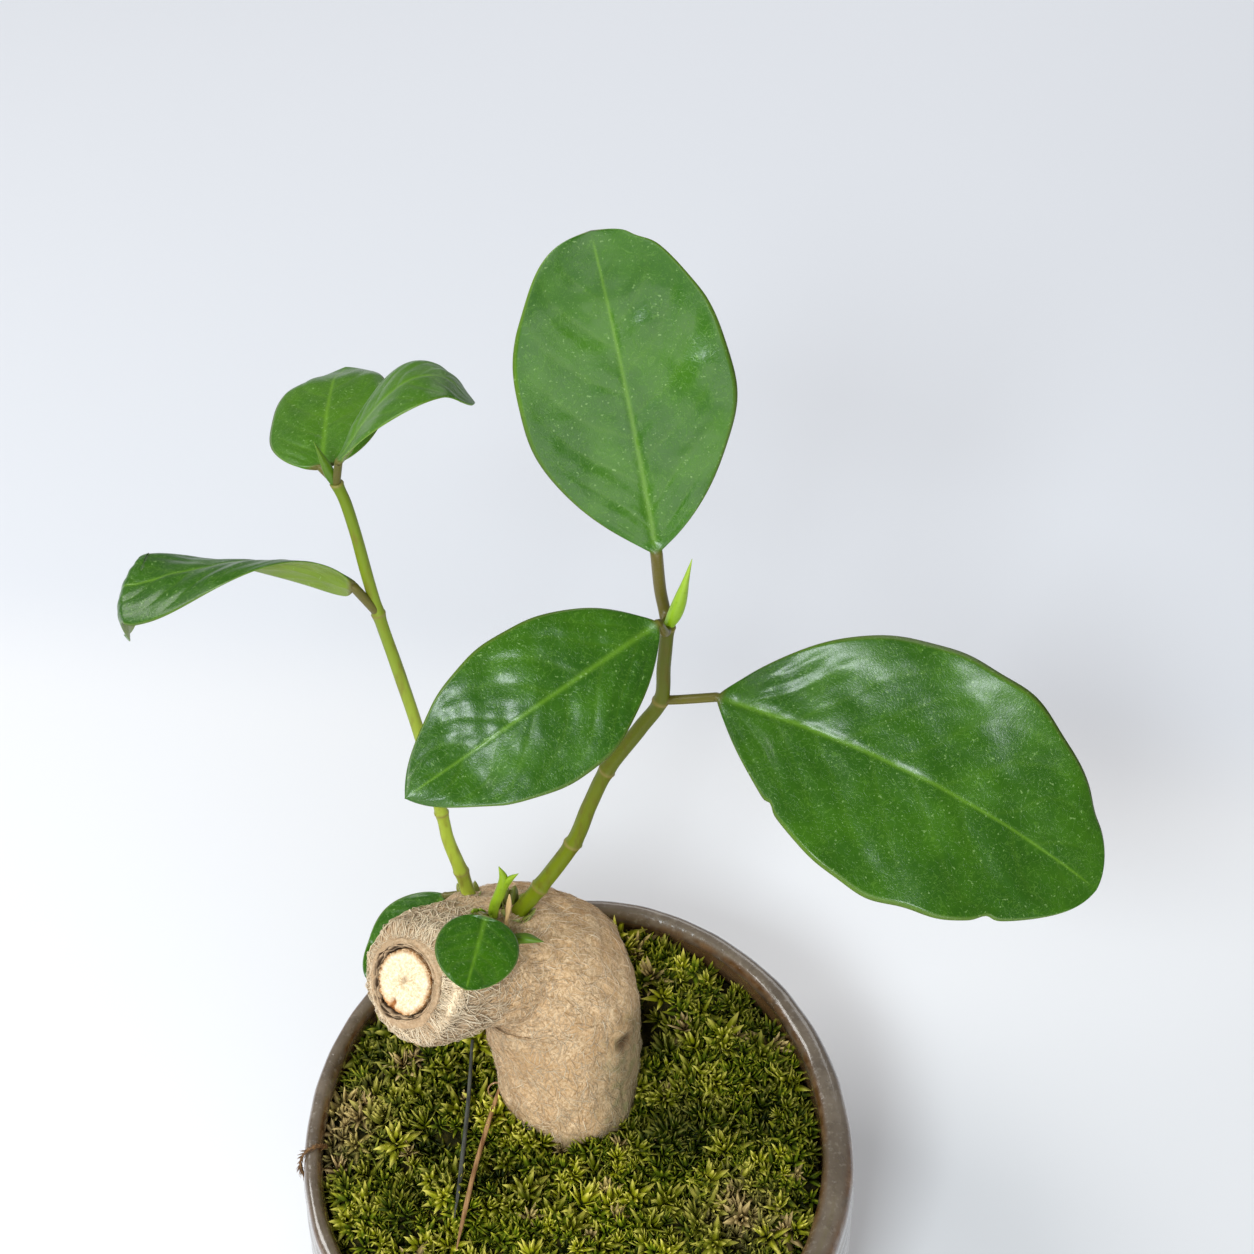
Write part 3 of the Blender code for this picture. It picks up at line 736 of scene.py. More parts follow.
# %% [markdown]
# ## The trunk's bark
#
# The trunk is a swollen fig root lifted out of the soil. Its bark is tan and felted with short
# fibres, with one dark knot, and its lower right side and its foot are painted darker, which is
# painted shade, with a few green grey flecks.
# The skin is a loft round a bent line. Broad lumps and narrow ridges that run along the trunk are
# worked out as a height for any distance and angle, so the fibres can be laid on the very same
# surface afterwards.

# %% Bark surface
GIRTH = 13.8
TRUNK_KNOTS = [
    (0.2, 9.5, -14, 0.66), (-1.3, 12, 0, 0.86), (-2.2, 14.8, 8, 0.95), (-3, 18.6, 17, 1.0),
    (-5, 21.5, 26, 1.0), (-11.5, 20.5, 34, 0.88), (-19, 14.8, 39.3, 0.83),
    (-24.3, 9.6, 43.9, 0.79), (-27, 7.4, 46.6, 0.7), (-28, 6.4, 47.8, 0.54),
]
TRUNK_RINGS = 360
TRUNK_AROUND = 200
trunk_knots = np.array(TRUNK_KNOTS) * (1, 1, 1, GIRTH) + (0, 0, MOSS_LEVEL, 0)
trunk_line = smooth_line(trunk_knots, TRUNK_RINGS)
trunk_along, trunk_side, trunk_up = directions(trunk_line[:, :3])
trunk_table = np.hstack([trunk_line, trunk_side, trunk_up])
TRUNK_LENGTH = walked(trunk_line)[-1]
KNOT_PLACE = np.array((8.3, 11.2, 79.3))


def bark(share, angle, lift=0.0):
    """Points of the bark at shares of the trunk's length and angles round it, and the way out."""
    share, angle = np.broadcast_arrays(share, angle)
    stops = np.linspace(0, 1, TRUNK_RINGS)
    row = np.stack([np.interp(share, stops, column) for column in trunk_table.T], -1)
    centre, radius, side, up = row[..., :3], row[..., 3:4], row[..., 4:7], row[..., 7:]
    out = side * np.cos(angle)[..., None] + up * np.sin(angle)[..., None]
    place = centre + out * radius
    grain = np.concatenate([share[..., None] * TRUNK_LENGTH / 5, out * radius], -1)
    height = 0.42 * lumps(place, 13, 3) + 0.20 * lumps(place, 5, 5)
    height = height + 0.11 * lumps(grain, 1.5, 7, 2) + 0.05 * lumps(place, 1.1, 9)
    knot = np.linalg.norm(place - KNOT_PLACE, axis=-1)
    height = height - 0.7 * bell(knot, 1.3) + 0.35 * bell(knot - 2.4, 0.8)
    height = height * rise(share, 0.0, 0.1)
    return place + out * (height[..., None] + lift), out


def bark_marks(spots, knot_width):
    """Where shade is painted on the lower right, where it is the paler stub, and where the knot is.
    """
    return {
        "painted_shade": rise(spots[:, 0], 1, 9) * (1 - rise(spots[:, 2], 72, 92)),
        "stub": rise(-spots[:, 0], 8, 20),
        "knot": bell(np.linalg.norm(spots - KNOT_PLACE, axis=1), knot_width),
    }


angles = circle(TRUNK_AROUND)
bark_rings, _ = bark(np.linspace(0, 1, TRUNK_RINGS)[:, None], angles)
print(f"trunk is {TRUNK_LENGTH:.0f} mm long along its bend")

# %% [markdown]
# ### The sawn end
#
# Where the root was cut, the bark has dried back in two or three thin layers and left a ragged
# dark gap round the pale wood. The layers are a few more rings added to the bark's own loft:
# out, in and down again. Uneven shifts by angle keep them from looking turned on a lathe.

# %% Bark layers at the cut
cut_centre = trunk_line[-1, :3]
cut_axis, cut_side, cut_up = trunk_along[-1], trunk_side[-1], trunk_up[-1]
CUT_RADIUS = trunk_line[-1, 3]
CUT_LAYERS = [
    (0.975, 0.30), (0.93, 0.55), (0.88, 0.70), (0.85, 0.62), (0.845, 0.95), (0.825, 1.05),
    (0.812, 0.45), (0.80, 0.30), (0.792, 0.80), (0.775, 0.92), (0.762, 0.40), (0.75, -0.1),
    (0.742, 0.35), (0.73, 0.42), (0.715, -0.5), (0.70, -1.3), (0.60, -1.7), (0.3, -1.8),
]


def at_cut(radius, angle, out):
    """Points at a radius and angle on the cut, so far out along its axis."""
    across = cut_side * np.cos(angle)[..., None] + cut_up * np.sin(angle)[..., None]
    radius, out = np.asarray(radius)[..., None], np.asarray(out)[..., None]
    return cut_centre + across * radius + cut_axis * out


layers = []
edge = polar(CUT_RADIUS, angles[0], 0)
for number, (share, out) in enumerate(CUT_LAYERS):
    ragged = lumps(edge + (0, 0, number * 0.5), 2.6, 15, 2)
    wide = lumps(edge, 9, 16)
    radius = CUT_RADIUS * (0.2 + 0.8 * share) * (1 + 0.012 * wide) + 0.10 * ragged
    layers.append(at_cut(radius, angles[0], out + 0.22 * ragged + 0.3 * wide * (share > 0.7)))
cut_rings = np.array(layers)

# %% [markdown]
# ### Bark finish and roots
#
# Pale and brown grain, the painted shade on the lower right, the greyer stub and the dark gap at
# the cut are mixed by values stored on the mesh. Four roots hold the trunk in the soil. They are
# hidden, but the piece stands for the whole CAD trunk, so they are joined to it as plain tapering
# tubes.

# %% Bark finish
bark_finish = Finish("felted_bark", {"Specular IOR Level": 0.2})
weave = bark_finish.noise(0.55, 4, 0.65, warp=0.8)
patch = bark_finish.noise(7, 3, 0.55)
painted_shade = bark_finish.mark("painted_shade")
tan = bark_finish.mix(
    bark_finish.between(weave, 0.3, 0.72), tone(180, 142, 98), tone(244, 216, 176)
)
tan = bark_finish.mix(
    bark_finish.between(patch, 0.4, 0.72) * 0.55, tan, tone(200, 158, 108)
)
# Painted shade: the lower right side and the foot are darkened, with green grey flecks in the dark.
tan = bark_finish.mix(painted_shade * 0.75, tan, tone(132, 118, 88))
tan = bark_finish.mix(
    painted_shade * bark_finish.between(bark_finish.noise(2.2, 2), 0.5, 0.65) * 0.6, tan, tone(126, 128, 84)
)
tan = bark_finish.mix(bark_finish.mark("stub") * 0.55, tan, tone(172, 148, 122))
tan = bark_finish.mix(bark_finish.mark("knot"), tan, tone(64, 38, 18))
# The gap mark paints the hollows at the cut dark: painted shade in the recesses.
tan = bark_finish.mix(bark_finish.mark("gap"), tan, tone(52, 34, 20))
relief = weave * 0.6 + bark_finish.noise(0.22, 2) * 0.4
felted_bark = bark_finish.cover(tan, 0.78 + weave * 0.2, relief, 0.35, 0.9)

# %% Trunk piece
rings = np.vstack([bark_rings, cut_rings])
trunk_shape = loft(rings)
root_parts = []
for heading in (25, 115, 205, 300):
    away = polar(1, math.radians(heading), 0)
    foot = plant((0.8, 8.5, -8.5))[0]
    knots = [
        (*(foot + away * 20 * reach - (0, 0, 17 * drop)), 3.6 * size)
        for reach, drop, size in ((0, 0, 1), (0.4, 0.15, 0.85), (0.75, 0.5, 0.6), (1, 1, 0.3))
    ]
    root_parts.append(loft(tube(smooth_line(knots, 40), 16)[0]))
shape = join(trunk_shape, *root_parts)
spots = shape[0]
main = len(trunk_shape[0])
layer_number = np.repeat(np.arange(len(rings)) - len(bark_rings), TRUNK_AROUND)
gap = np.zeros(len(spots))
# The layers that dip inwards, the ring round the wood and the deep centre are marked dark, as
# painted shade.
gap[: len(layer_number)] = np.isin(layer_number, (6, 7, 10, 11, 14, 15, 16, 17))
gap[main - 1] = 1
marks = bark_marks(spots, 1.9)
# The foot just above the moss is darkened too, as painted shade.
marks["painted_shade"] = np.clip(marks["painted_shade"] + 0.5 * (1 - rise(spots[:, 2], 61, 66)), 0, 1)
marks["gap"] = gap * 0.9
piece("trunk", shape, felted_bark, ["trunk"], marks)

# %% [markdown]
# ### The pale wood inside
#
# The wood of the cut is cream coloured and rough, with grain that runs out from the middle, a
# dark speckled edge, and one small crack near the bottom. It could be painted on the bark's end,
# but as its own small disc it can be rough and cracked where the bark isn't. The disc is made
# of rings from the middle out, then over its edge and back underneath.

# %% Sawn wood
WOOD_RADIUS = 5.4
WOOD_AROUND = 220
down = math.atan2(-cut_up[2], -cut_side[2])
spread = np.concatenate([np.linspace(0.03, 1, 60), np.full(5, 1.0), np.linspace(0.9, 0.1, 6)])
drop = np.concatenate([np.zeros(60), np.linspace(0.2, 2.2, 5), np.full(6, 2.3)])
wheel = circle(WOOD_AROUND)
spread, drop = spread[:, None], drop[:, None]
flat = polar(spread, wheel) * WOOD_RADIUS
radial = polar(9, wheel, spread * 1.5)
from_down = (wheel - down + math.pi) % TURN - math.pi
crack = bell(from_down, 0.10) * rise(spread, 0.55, 0.8)
pit = bell(np.linalg.norm(flat - (0.4, 0.5), axis=-1), 0.5)
rough = 0.10 * lumps(radial, 1.6, 21, 2) + 0.10 * lumps(flat, 1.3, 22, 2)
rim_wear = 0.35 * rise(spread, 0.9, 1.0) * np.abs(lumps(radial, 0.9, 23, 2))
out = 0.75 + (rough - rim_wear - 0.55 * crack - 0.25 * pit) * (drop == 0) - drop
radius = WOOD_RADIUS * spread * (1 + 0.02 * lumps(radial, 5, 24)) + 0.08 * lumps(radial, 0.8, 25)
wood_rings = at_cut(radius, wheel + 0 * spread, out)

wood = Finish("pale_wood", {"Specular IOR Level": 0.25})
ray = wood.noise(0.5, 3, 0.7)
cream = wood.mix(wood.between(ray, 0.35, 0.7), tone(222, 198, 158), tone(250, 236, 210))
cream = wood.mix(
    wood.mark("edge") * wood.between(ray, 0.35, 0.55), cream, tone(176, 128, 78)
)
cream = wood.mix(wood.mark("crack"), cream, tone(120, 66, 28))
cream = wood.mix(wood.mark("stain") * 0.5, cream, tone(224, 158, 92))
pale_wood = wood.cover(cream, 0.7 + ray * 0.2, ray, 0.2, 0.8)
marks = {
    "edge": np.append(rise(spread, 0.82, 1.0) + 0 * wheel, [0, 1]),
    "crack": np.clip(crack * 1.3 + pit * 0.35, 0, 1),
    "stain": bell(from_down, 0.5) * rise(spread, 0.6, 1),
}
piece("sawn_wood", loft(wood_rings), pale_wood, marks=marks)

# %% [markdown]
# ### Felt
#
# What makes this bark soft to look at is its felt: thousands of short dry fibres that lie flat
# and cross each other. A hair system would not survive export as solid mesh, so each fibre is
# a closed three-sided blade that walks over the bark surface at its own slant. Near the sawn
# end the fibres are longer, paler and stand off more. There are as many as one piece can hold
# before the export would thin them out.

# %% Bark fibres
draw = np.random.default_rng(31)
FELT = 7600
SHOULDER_FELT = 700
FELT_POINTS = 5
share = draw.uniform(0.17, 0.985, FELT)
share[:SHOULDER_FELT] = draw.uniform(0.955, 1.0, SHOULDER_FELT)
stub = rise(share, 0.78, 0.9)
angle = draw.uniform(0, TURN, FELT)
slant = draw.normal(0, 0.75, FELT)
reach = draw.uniform(1.4, 3.6, FELT) * (1 + 0.9 * stub)
walk = np.linspace(-0.5, 0.5, FELT_POINTS)[None, :] * reach[:, None]
curl = draw.normal(0, 0.10, FELT)[:, None] * walk
local = np.interp(share, np.linspace(0, 1, TRUNK_RINGS), trunk_line[:, 3])[:, None]
shares = share[:, None] + (walk * np.cos(slant)[:, None] + curl) / TRUNK_LENGTH
angles_on = angle[:, None] + (walk * np.sin(slant)[:, None] - curl) / local
hump = (1 - (np.linspace(-1, 1, FELT_POINTS) ** 2))[None, :]
lift = 0.02 + hump * draw.uniform(0.03, 0.26, FELT)[:, None] * (1 + 1.6 * stub)[:, None]
lines, outs = bark(np.clip(shares, 0, 1), angles_on, lift[..., None])
widths = draw.uniform(0.035, 0.075, FELT)[:, None] * (1 + 0.9 * stub)[:, None]
widths = widths * np.array([0.4, 0.9, 1.0, 0.9, 0.3])
felt_shape = blades(lines, widths, outs, 0.8)
tint = np.repeat(np.clip(draw.normal(0.5, 0.25, FELT) + 0.2 * stub, 0, 1), FELT_POINTS * 3)

felt = Finish("dry_felt", {"Specular IOR Level": 0.25})
hair = felt.mix(felt.mark("tint"), tone(192, 154, 108), tone(250, 234, 204))
hair = felt.mix(felt.mark("stub") * 0.4, hair, tone(196, 178, 152))
hair = felt.mix(felt.mark("knot"), hair, tone(72, 44, 20))
# The felt is darkened by the same painted shade at the lower right and the foot.
hair = felt.mix(felt.mark("painted_shade") * 0.7, hair, tone(144, 134, 100))
dry_felt = felt.cover(hair, 0.6 + felt.noise(1, 2) * 0.3)
marks = {"tint": tint, **bark_marks(felt_shape[0], 2.0)}
piece("bark_felt", felt_shape, dry_felt, marks=marks)

# %% [markdown]
# ### Torn fibres beside the cut
#
# The saw did not quite finish the job, and a strip of pale wood tore out of the bark beside the
# cut. Its fibres are coarser than the felt and stand up at all angles, so they are the same
# blades again, made longer, thicker and cream coloured.

# %% Torn fibres
draw = np.random.default_rng(33)
TORN_PLACE = np.array((-20.4, 2.2, 108.9))
TORN = 260
offsets = np.linalg.norm(bark_rings - TORN_PLACE, axis=-1)
ring, column = np.unravel_index(np.argmin(offsets), offsets.shape)
share = ring / (TRUNK_RINGS - 1) + draw.normal(-0.006, 0.014, TORN)
angle = angles[0, column] + draw.normal(0, 0.30, TORN)
walk = np.linspace(-0.5, 0.5, FELT_POINTS)[None, :] * draw.uniform(1.2, 3.4, TORN)[:, None]
slant = draw.normal(0.9, 0.6, TORN)[:, None]
shares = np.clip(share[:, None] + walk * np.cos(slant) / TRUNK_LENGTH, 0, 0.999)
angles_on = angle[:, None] + walk * np.sin(slant) / 9
lift = 0.1 + draw.uniform(0, 0.55, (TORN, 1)) * np.linspace(0, 1, FELT_POINTS) ** 1.5
lines, outs = bark(shares, angles_on, lift[..., None])
widths = draw.uniform(0.06, 0.15, (TORN, 1)) * np.array([0.5, 1, 1, 0.8, 0.1])
tint = np.repeat(np.clip(draw.normal(0.9, 0.25, TORN), 0.2, 1), FELT_POINTS * 3)
piece("torn_fibres", blades(lines, widths, outs, 0.8), dry_felt, marks={"tint": tint})

# %% [markdown]
# ## The pot
#
# The pot is thrown stoneware. Its wall swells to a belly and closes a little to a thick round
# lip, which the potter left slightly oval and thicker on one side. The glaze is a glossy
# brown grey that runs thin and rusty where the lip turns, and the foot is left bare. One profile
# swept by angle gives a shape that can drift a little as the wheel turned, and the drain holes
# are cut last, as on the real pot.

# %% Pot sizes
WALL = 4.4
FOOT_RADIUS = 40.0
RIM_RADIUS = 49.5
BELLY_LEVEL = 0.55
POT_AROUND = 240
LIP_HEIGHT = 2.7
FOOT_ROUND = 1.5
HOLE_RADIUS = 4.5
HOLES_AT = 15.0


def outer_radius(height):
    """The outside of the pot at a height."""
    level = height / POT_HEIGHT
    open_out = np.clip(1 - level / BELLY_LEVEL, 0, 1)
    low = BELLY_RADIUS - (BELLY_RADIUS - FOOT_RADIUS) * open_out ** 2.2
    close = np.clip((level - BELLY_LEVEL) / (1 - BELLY_LEVEL), 0, 1)
    return low - (BELLY_RADIUS - RIM_RADIUS) * close ** 2


def wall(turn):
    """The wall is thicker on the right and thinner at the back, as the clay was pulled up."""
    return WALL + 1.2 * np.cos(turn) - 0.9 * rise(np.sin(turn), 0, 1)


def oval(turn):
    """The mouth was pushed a little out at the back while the clay was soft."""
    return 1.7 * rise(np.sin(turn), 0, 1)

# %% Pot profile
wheel = circle(POT_AROUND)
lip = wall(wheel) / 2
lip_level = POT_HEIGHT - LIP_HEIGHT
flat_foot = FOOT_RADIUS - FOOT_ROUND
rows = []
for radius in np.linspace(0.5, 0.97, 10):
    rows.append((radius * (outer_radius(FLOOR_TOP) - wall(wheel)), FLOOR_TOP))
for height in np.linspace(FLOOR_TOP + 0.6, lip_level, 44):
    rows.append((outer_radius(height) - wall(wheel), height))
inner_rows = len(rows) + 1
for turn in math.pi * (1 - np.arange(1, 24) / 24):
    over_lip = outer_radius(lip_level) - lip + lip * math.cos(turn)
    rows.append((over_lip, lip_level + LIP_HEIGHT * math.sin(turn) ** 0.8))
for height in np.linspace(lip_level, FOOT_ROUND, 90):
    rows.append((outer_radius(height), height))
for turn in math.pi / 2 * np.arange(1, 6) / 5:
    rows.append((flat_foot + FOOT_ROUND * math.cos(turn), FOOT_ROUND * (1 - math.sin(turn))))
for radius in np.linspace(0.97, 0.03, 20):
    rows.append((radius * flat_foot, 0))
reach = np.vstack([row[0] + 0 * wheel for row in rows])
level = np.vstack([row[1] + 0 * wheel for row in rows])
place = polar(reach, wheel, level)
thrown = 0.10 * np.sin(level * TURN / 4.6 + wheel + 0.5 * lumps(place, 40, 51))
drift = 0.30 * np.cos(2 * wheel + 2.4) + 0.12 * np.cos(3 * wheel + 1)
up_wall = rise(level, 2, 14)
uneven = (thrown + drift + 0.10 * lumps(place, 9, 52)) * up_wall
reach = reach + uneven + oval(wheel) * rise(level, 20, 60) * rise(reach, 20, 42)
level = level + 0.22 * lumps(place, 34, 53) * rise(level, 50, 62)
pot_rings = np.vstack([polar(0.02, wheel, FLOOR_TOP), polar(reach, wheel, level)])
print(f"lip reaches {level.max():.1f} mm, wall is {wall(wheel).min():.1f} to {wall(0):.1f} mm")

# %% [markdown]
# ### The glaze
#
# Glaze pools where the surface is level or hollow and drains from edges, so its colour
# follows the shape: brown where it is thin on the lip's turns, greyer on its crown, streaked on
# the wall. Tiny pinholes and a soft ripple make its reflections sparkle.

# %% Glaze finish
glaze = Finish("stoneware_glaze", {"Coat Roughness": 0.06, "Specular IOR Level": 0.6})
streak = glaze.noise(3.2, 4, 0.6, glaze.stretched(1, 1, 0.25), 0.4)
cloud = glaze.noise(13, 3, 0.6)
speck = glaze.noise(0.8, 2)
body = glaze.mix(glaze.between(cloud, 0.35, 0.65), tone(70, 54, 38), tone(112, 98, 82))
body = glaze.mix(glaze.between(streak, 0.45, 0.7) * 0.7, body, tone(56, 40, 24))
body = glaze.mix(glaze.between(speck, 0.58, 0.7) * 0.4, body, tone(146, 136, 122))
body = glaze.mix(glaze.mark("crown") * 0.4, body, tone(112, 102, 88))
rust = glaze.mix(glaze.between(streak, 0.4, 0.6), tone(84, 54, 26), tone(112, 84, 58))
thin = glaze.mark("turned") * glaze.between(glaze.noise(5, 3), 0.3, 0.6)
body = glaze.mix(thin, body, rust)
body = glaze.mix(glaze.mark("inner") * 0.7, body, tone(122, 88, 50))
bare = 1 - glaze.between(glaze.height() + glaze.noise(6, 2) * 3.0, 3.6, 4.6)
clay = glaze.mix(glaze.noise(0.7, 3), tone(142, 104, 74), tone(172, 136, 102))
glaze.feed("Coat Weight", 0.9 - bare * 0.9)
pinhole = glaze.between(glaze.cells(2.6), 0.0, 0.12)
relief = pinhole * 0.3 + glaze.noise(2.2, 2) * 0.55 + speck * 0.15
rough = 0.2 + streak * 0.12 + bare * 0.5
stoneware = glaze.cover(glaze.mix(bare, body, clay), rough, relief, 0.5, 0.8)

# %% Pot piece with its drain holes
across = (reach - oval(wheel) - outer_radius(level)) / wall(wheel) + 1
across, level = (np.vstack([0 * wheel, values]) for values in (across, level))
crown = rise(level, POT_HEIGHT - 1.4, POT_HEIGHT - 0.2)
turned = bell((across - 0.96), 0.14) + bell(across - 0.06, 0.12)
turned = turned * rise(level, POT_HEIGHT - 5.5, POT_HEIGHT - 2.0)
inner = (np.arange(len(pot_rings)) < inner_rows)[:, None] * (1 - crown)
marks = {"crown": crown, "turned": np.clip(turned, 0, 1), "inner": np.append(inner, [1, 0])}
pot = piece("pot_glazed", loft(pot_rings), stoneware, ["pot"], marks)
for hole in range(3):
    centre = polar(HOLES_AT, TURN * (hole + 0.25) / 3)
    drill_line = np.array([(*centre, z, HOLE_RADIUS) for z in (-2, 3, 8)])
    drill = put("drill", skin("drill", *loft(tube(drill_line, 48)[0])))
    cut = pot.modifiers.new("drain_hole", "BOOLEAN")
    cut.object, cut.operation, cut.solver = drill, "DIFFERENCE", "EXACT"
    graph = bpy.context.evaluated_depsgraph_get()
    drilled = bpy.data.meshes.new_from_object(pot.evaluated_get(graph))
    pot.modifiers.clear()
    pot.data = drilled
    bpy.data.objects.remove(drill)
print("pot drilled:", len(pot.data.polygons), "faces")

# %% [markdown]
# ## Soil and drain mesh
#
# These two can only be seen through the drain holes and in a cut-away. Their CAD shapes are
# right, so they stay as they are and only get finishes: crumbly dark soil and dull black
# plastic.

# %% Finishes for the carried-over CAD pieces
ground = Finish("potting_soil", {"Specular IOR Level": 0.2})
crumb = ground.cells(1.6)
earth = ground.mix(ground.noise(2.5, 4, 0.7), tone(40, 28, 18), tone(92, 70, 48))
potting_soil = ground.cover(earth, 0.85 + crumb * 0.1, crumb, 0.8)

plastic = Finish("mesh_plastic", {})
scuff = plastic.noise(1.5, 3)
black = plastic.mix(scuff, tone(18, 18, 18), tone(44, 44, 42))
mesh_plastic = plastic.cover(black, 0.45 + scuff * 0.25, scuff, 0.1, 0.4)
for node, slot, finish in (
    ("soil", "soil", potting_soil), ("drain_mesh", "mesh_plastic", mesh_plastic)
):
    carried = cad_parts[node]
    carried.data.materials.clear()
    carried.data.materials.append(finish)

# %% [markdown]
# ## The moss
#
# The pot's mouth is filled with star moss: each plant is a short stem with a dozen pointed
# leaflets in a rosette. Seen from above they are small stars, dark in their depths and yellow at
# their tips, and here and there a patch has dried to straw. A cushion with soft hummocks
# carries them, and every leaflet is real mesh, since bump could never give that ragged outline.

# %% Moss ground
MOSS_AROUND = 200
TRUNK_FOOT = np.array((-1.3, 12.2))
FOOT_REACH = 11.4
GOLDEN_ANGLE = 2.39996


def moss_edge(turn):
    """Where the moss ends: a dark gap is left along the right of the wall."""
    inside = outer_radius(MOSS_LEVEL) - wall(turn) + oval(turn)
    return inside - 0.5 - 0.9 * bell(turn - 0.25, 0.6)


def moss_height(x, y):
    """The hummocky level of the moss."""
    flat = np.stack([x, y], -1)
    far = np.hypot(x, y)
    edge = moss_edge(np.arctan2(y, x))
    hummocks = 1.5 * lumps(flat, 20, 71) + 0.9 * lumps(flat, 8, 72)
    return MOSS_LEVEL + 0.9 + hummocks - 2.6 * rise(far, edge - 5, edge + 0.5)


wheel = circle(MOSS_AROUND)
flat = polar(np.linspace(0.01, 1, 90)[:, None] * moss_edge(wheel), wheel)
level = moss_height(*flat.transpose(2, 0, 1)) - 1.5 + 0.35 * lumps(flat, 1.6, 73, 2)
top = np.concatenate([flat, level[..., None]], -1)
under = [top[-1:] * (1, 1, 0) + (0, 0, 57.0), top[-1:] * (1, 1, 0) + (0, 0, 53.5)]
under += [top[-1:] * (part, part, 0) + (0, 0, 53.4) for part in (0.8, 0.5, 0.2, 0.02)]
cushion_rings = np.vstack([top, *under])

peat = Finish("moss_depths", {"Specular IOR Level": 0.2})
fibre = peat.noise(0.9, 4, 0.7)
dark = peat.mix(peat.between(fibre, 0.35, 0.7), tone(24, 26, 4), tone(66, 58, 14))
moss_depths = peat.cover(dark, 0.8 + fibre * 0.2, fibre, 0.8)
piece("moss_cushion", loft(cushion_rings), moss_depths, ["moss"])

# %% [markdown]
# ### Rosettes
#
# The tufts are scattered at random and then pushed apart a few times, so that none sit on top of
# each other and the cover stays even. Leaflets leave the stem a golden angle apart, the lowest
# nearly flat and the highest nearly upright, as they grow.

# %% Where the tufts stand
def scattered(count, seed, spacing):
    """Points over the moss, pushed apart until about spacing from each other."""
    draw = np.random.default_rng(seed)
    turn = draw.uniform(0, TURN, count)
    far = np.sqrt(draw.uniform(0, 1, count)) * (moss_edge(turn) - 0.8)
    spots = polar(far, turn)
    for _ in range(14):
        gap = spots[:, None] - spots[None]
        size = np.linalg.norm(gap, axis=-1) + np.eye(count) * 99 + 1e-6
        push = np.clip(spacing - size, 0, None)[..., None] * gap / size[..., None]
        spots = spots + 0.3 * push.sum(1)
        far = np.linalg.norm(spots, axis=1, keepdims=True)
        turn = np.arctan2(spots[:, 1], spots[:, 0])[:, None]
        spots = spots * np.minimum(1, (moss_edge(turn) - 0.8) / far)
    return spots[np.linalg.norm(spots - TRUNK_FOOT, axis=1) > FOOT_REACH]


# %% Moss finish
def moss_finish(name, deep, green, tip):
    """Leaflets that are dark at the stem and pale at the tip, and straw where they dried."""
    finish = Finish(name, {"Specular IOR Level": 0.18})
    along = finish.mark("tip")
    shade = finish.mark("shade")
    here = finish.mix(shade, deep, green)
    # Each leaflet is darker towards its foot: partly its own colour and partly painted shade in the
    # depths of the tuft.
    leaf_tone = finish.mix(finish.between(along, 0.0, 0.4), deep, here)
    leaf_tone = finish.mix(finish.between(along, 0.5, 1.0) * (0.25 + shade * 0.75), leaf_tone, tip)
    straw = finish.mix(along, tone(104, 72, 32), tone(226, 196, 138))
    leaf_tone = finish.mix(finish.mark("dry"), leaf_tone, straw)
    return finish.cover(leaf_tone, 0.5 + shade * 0.2)

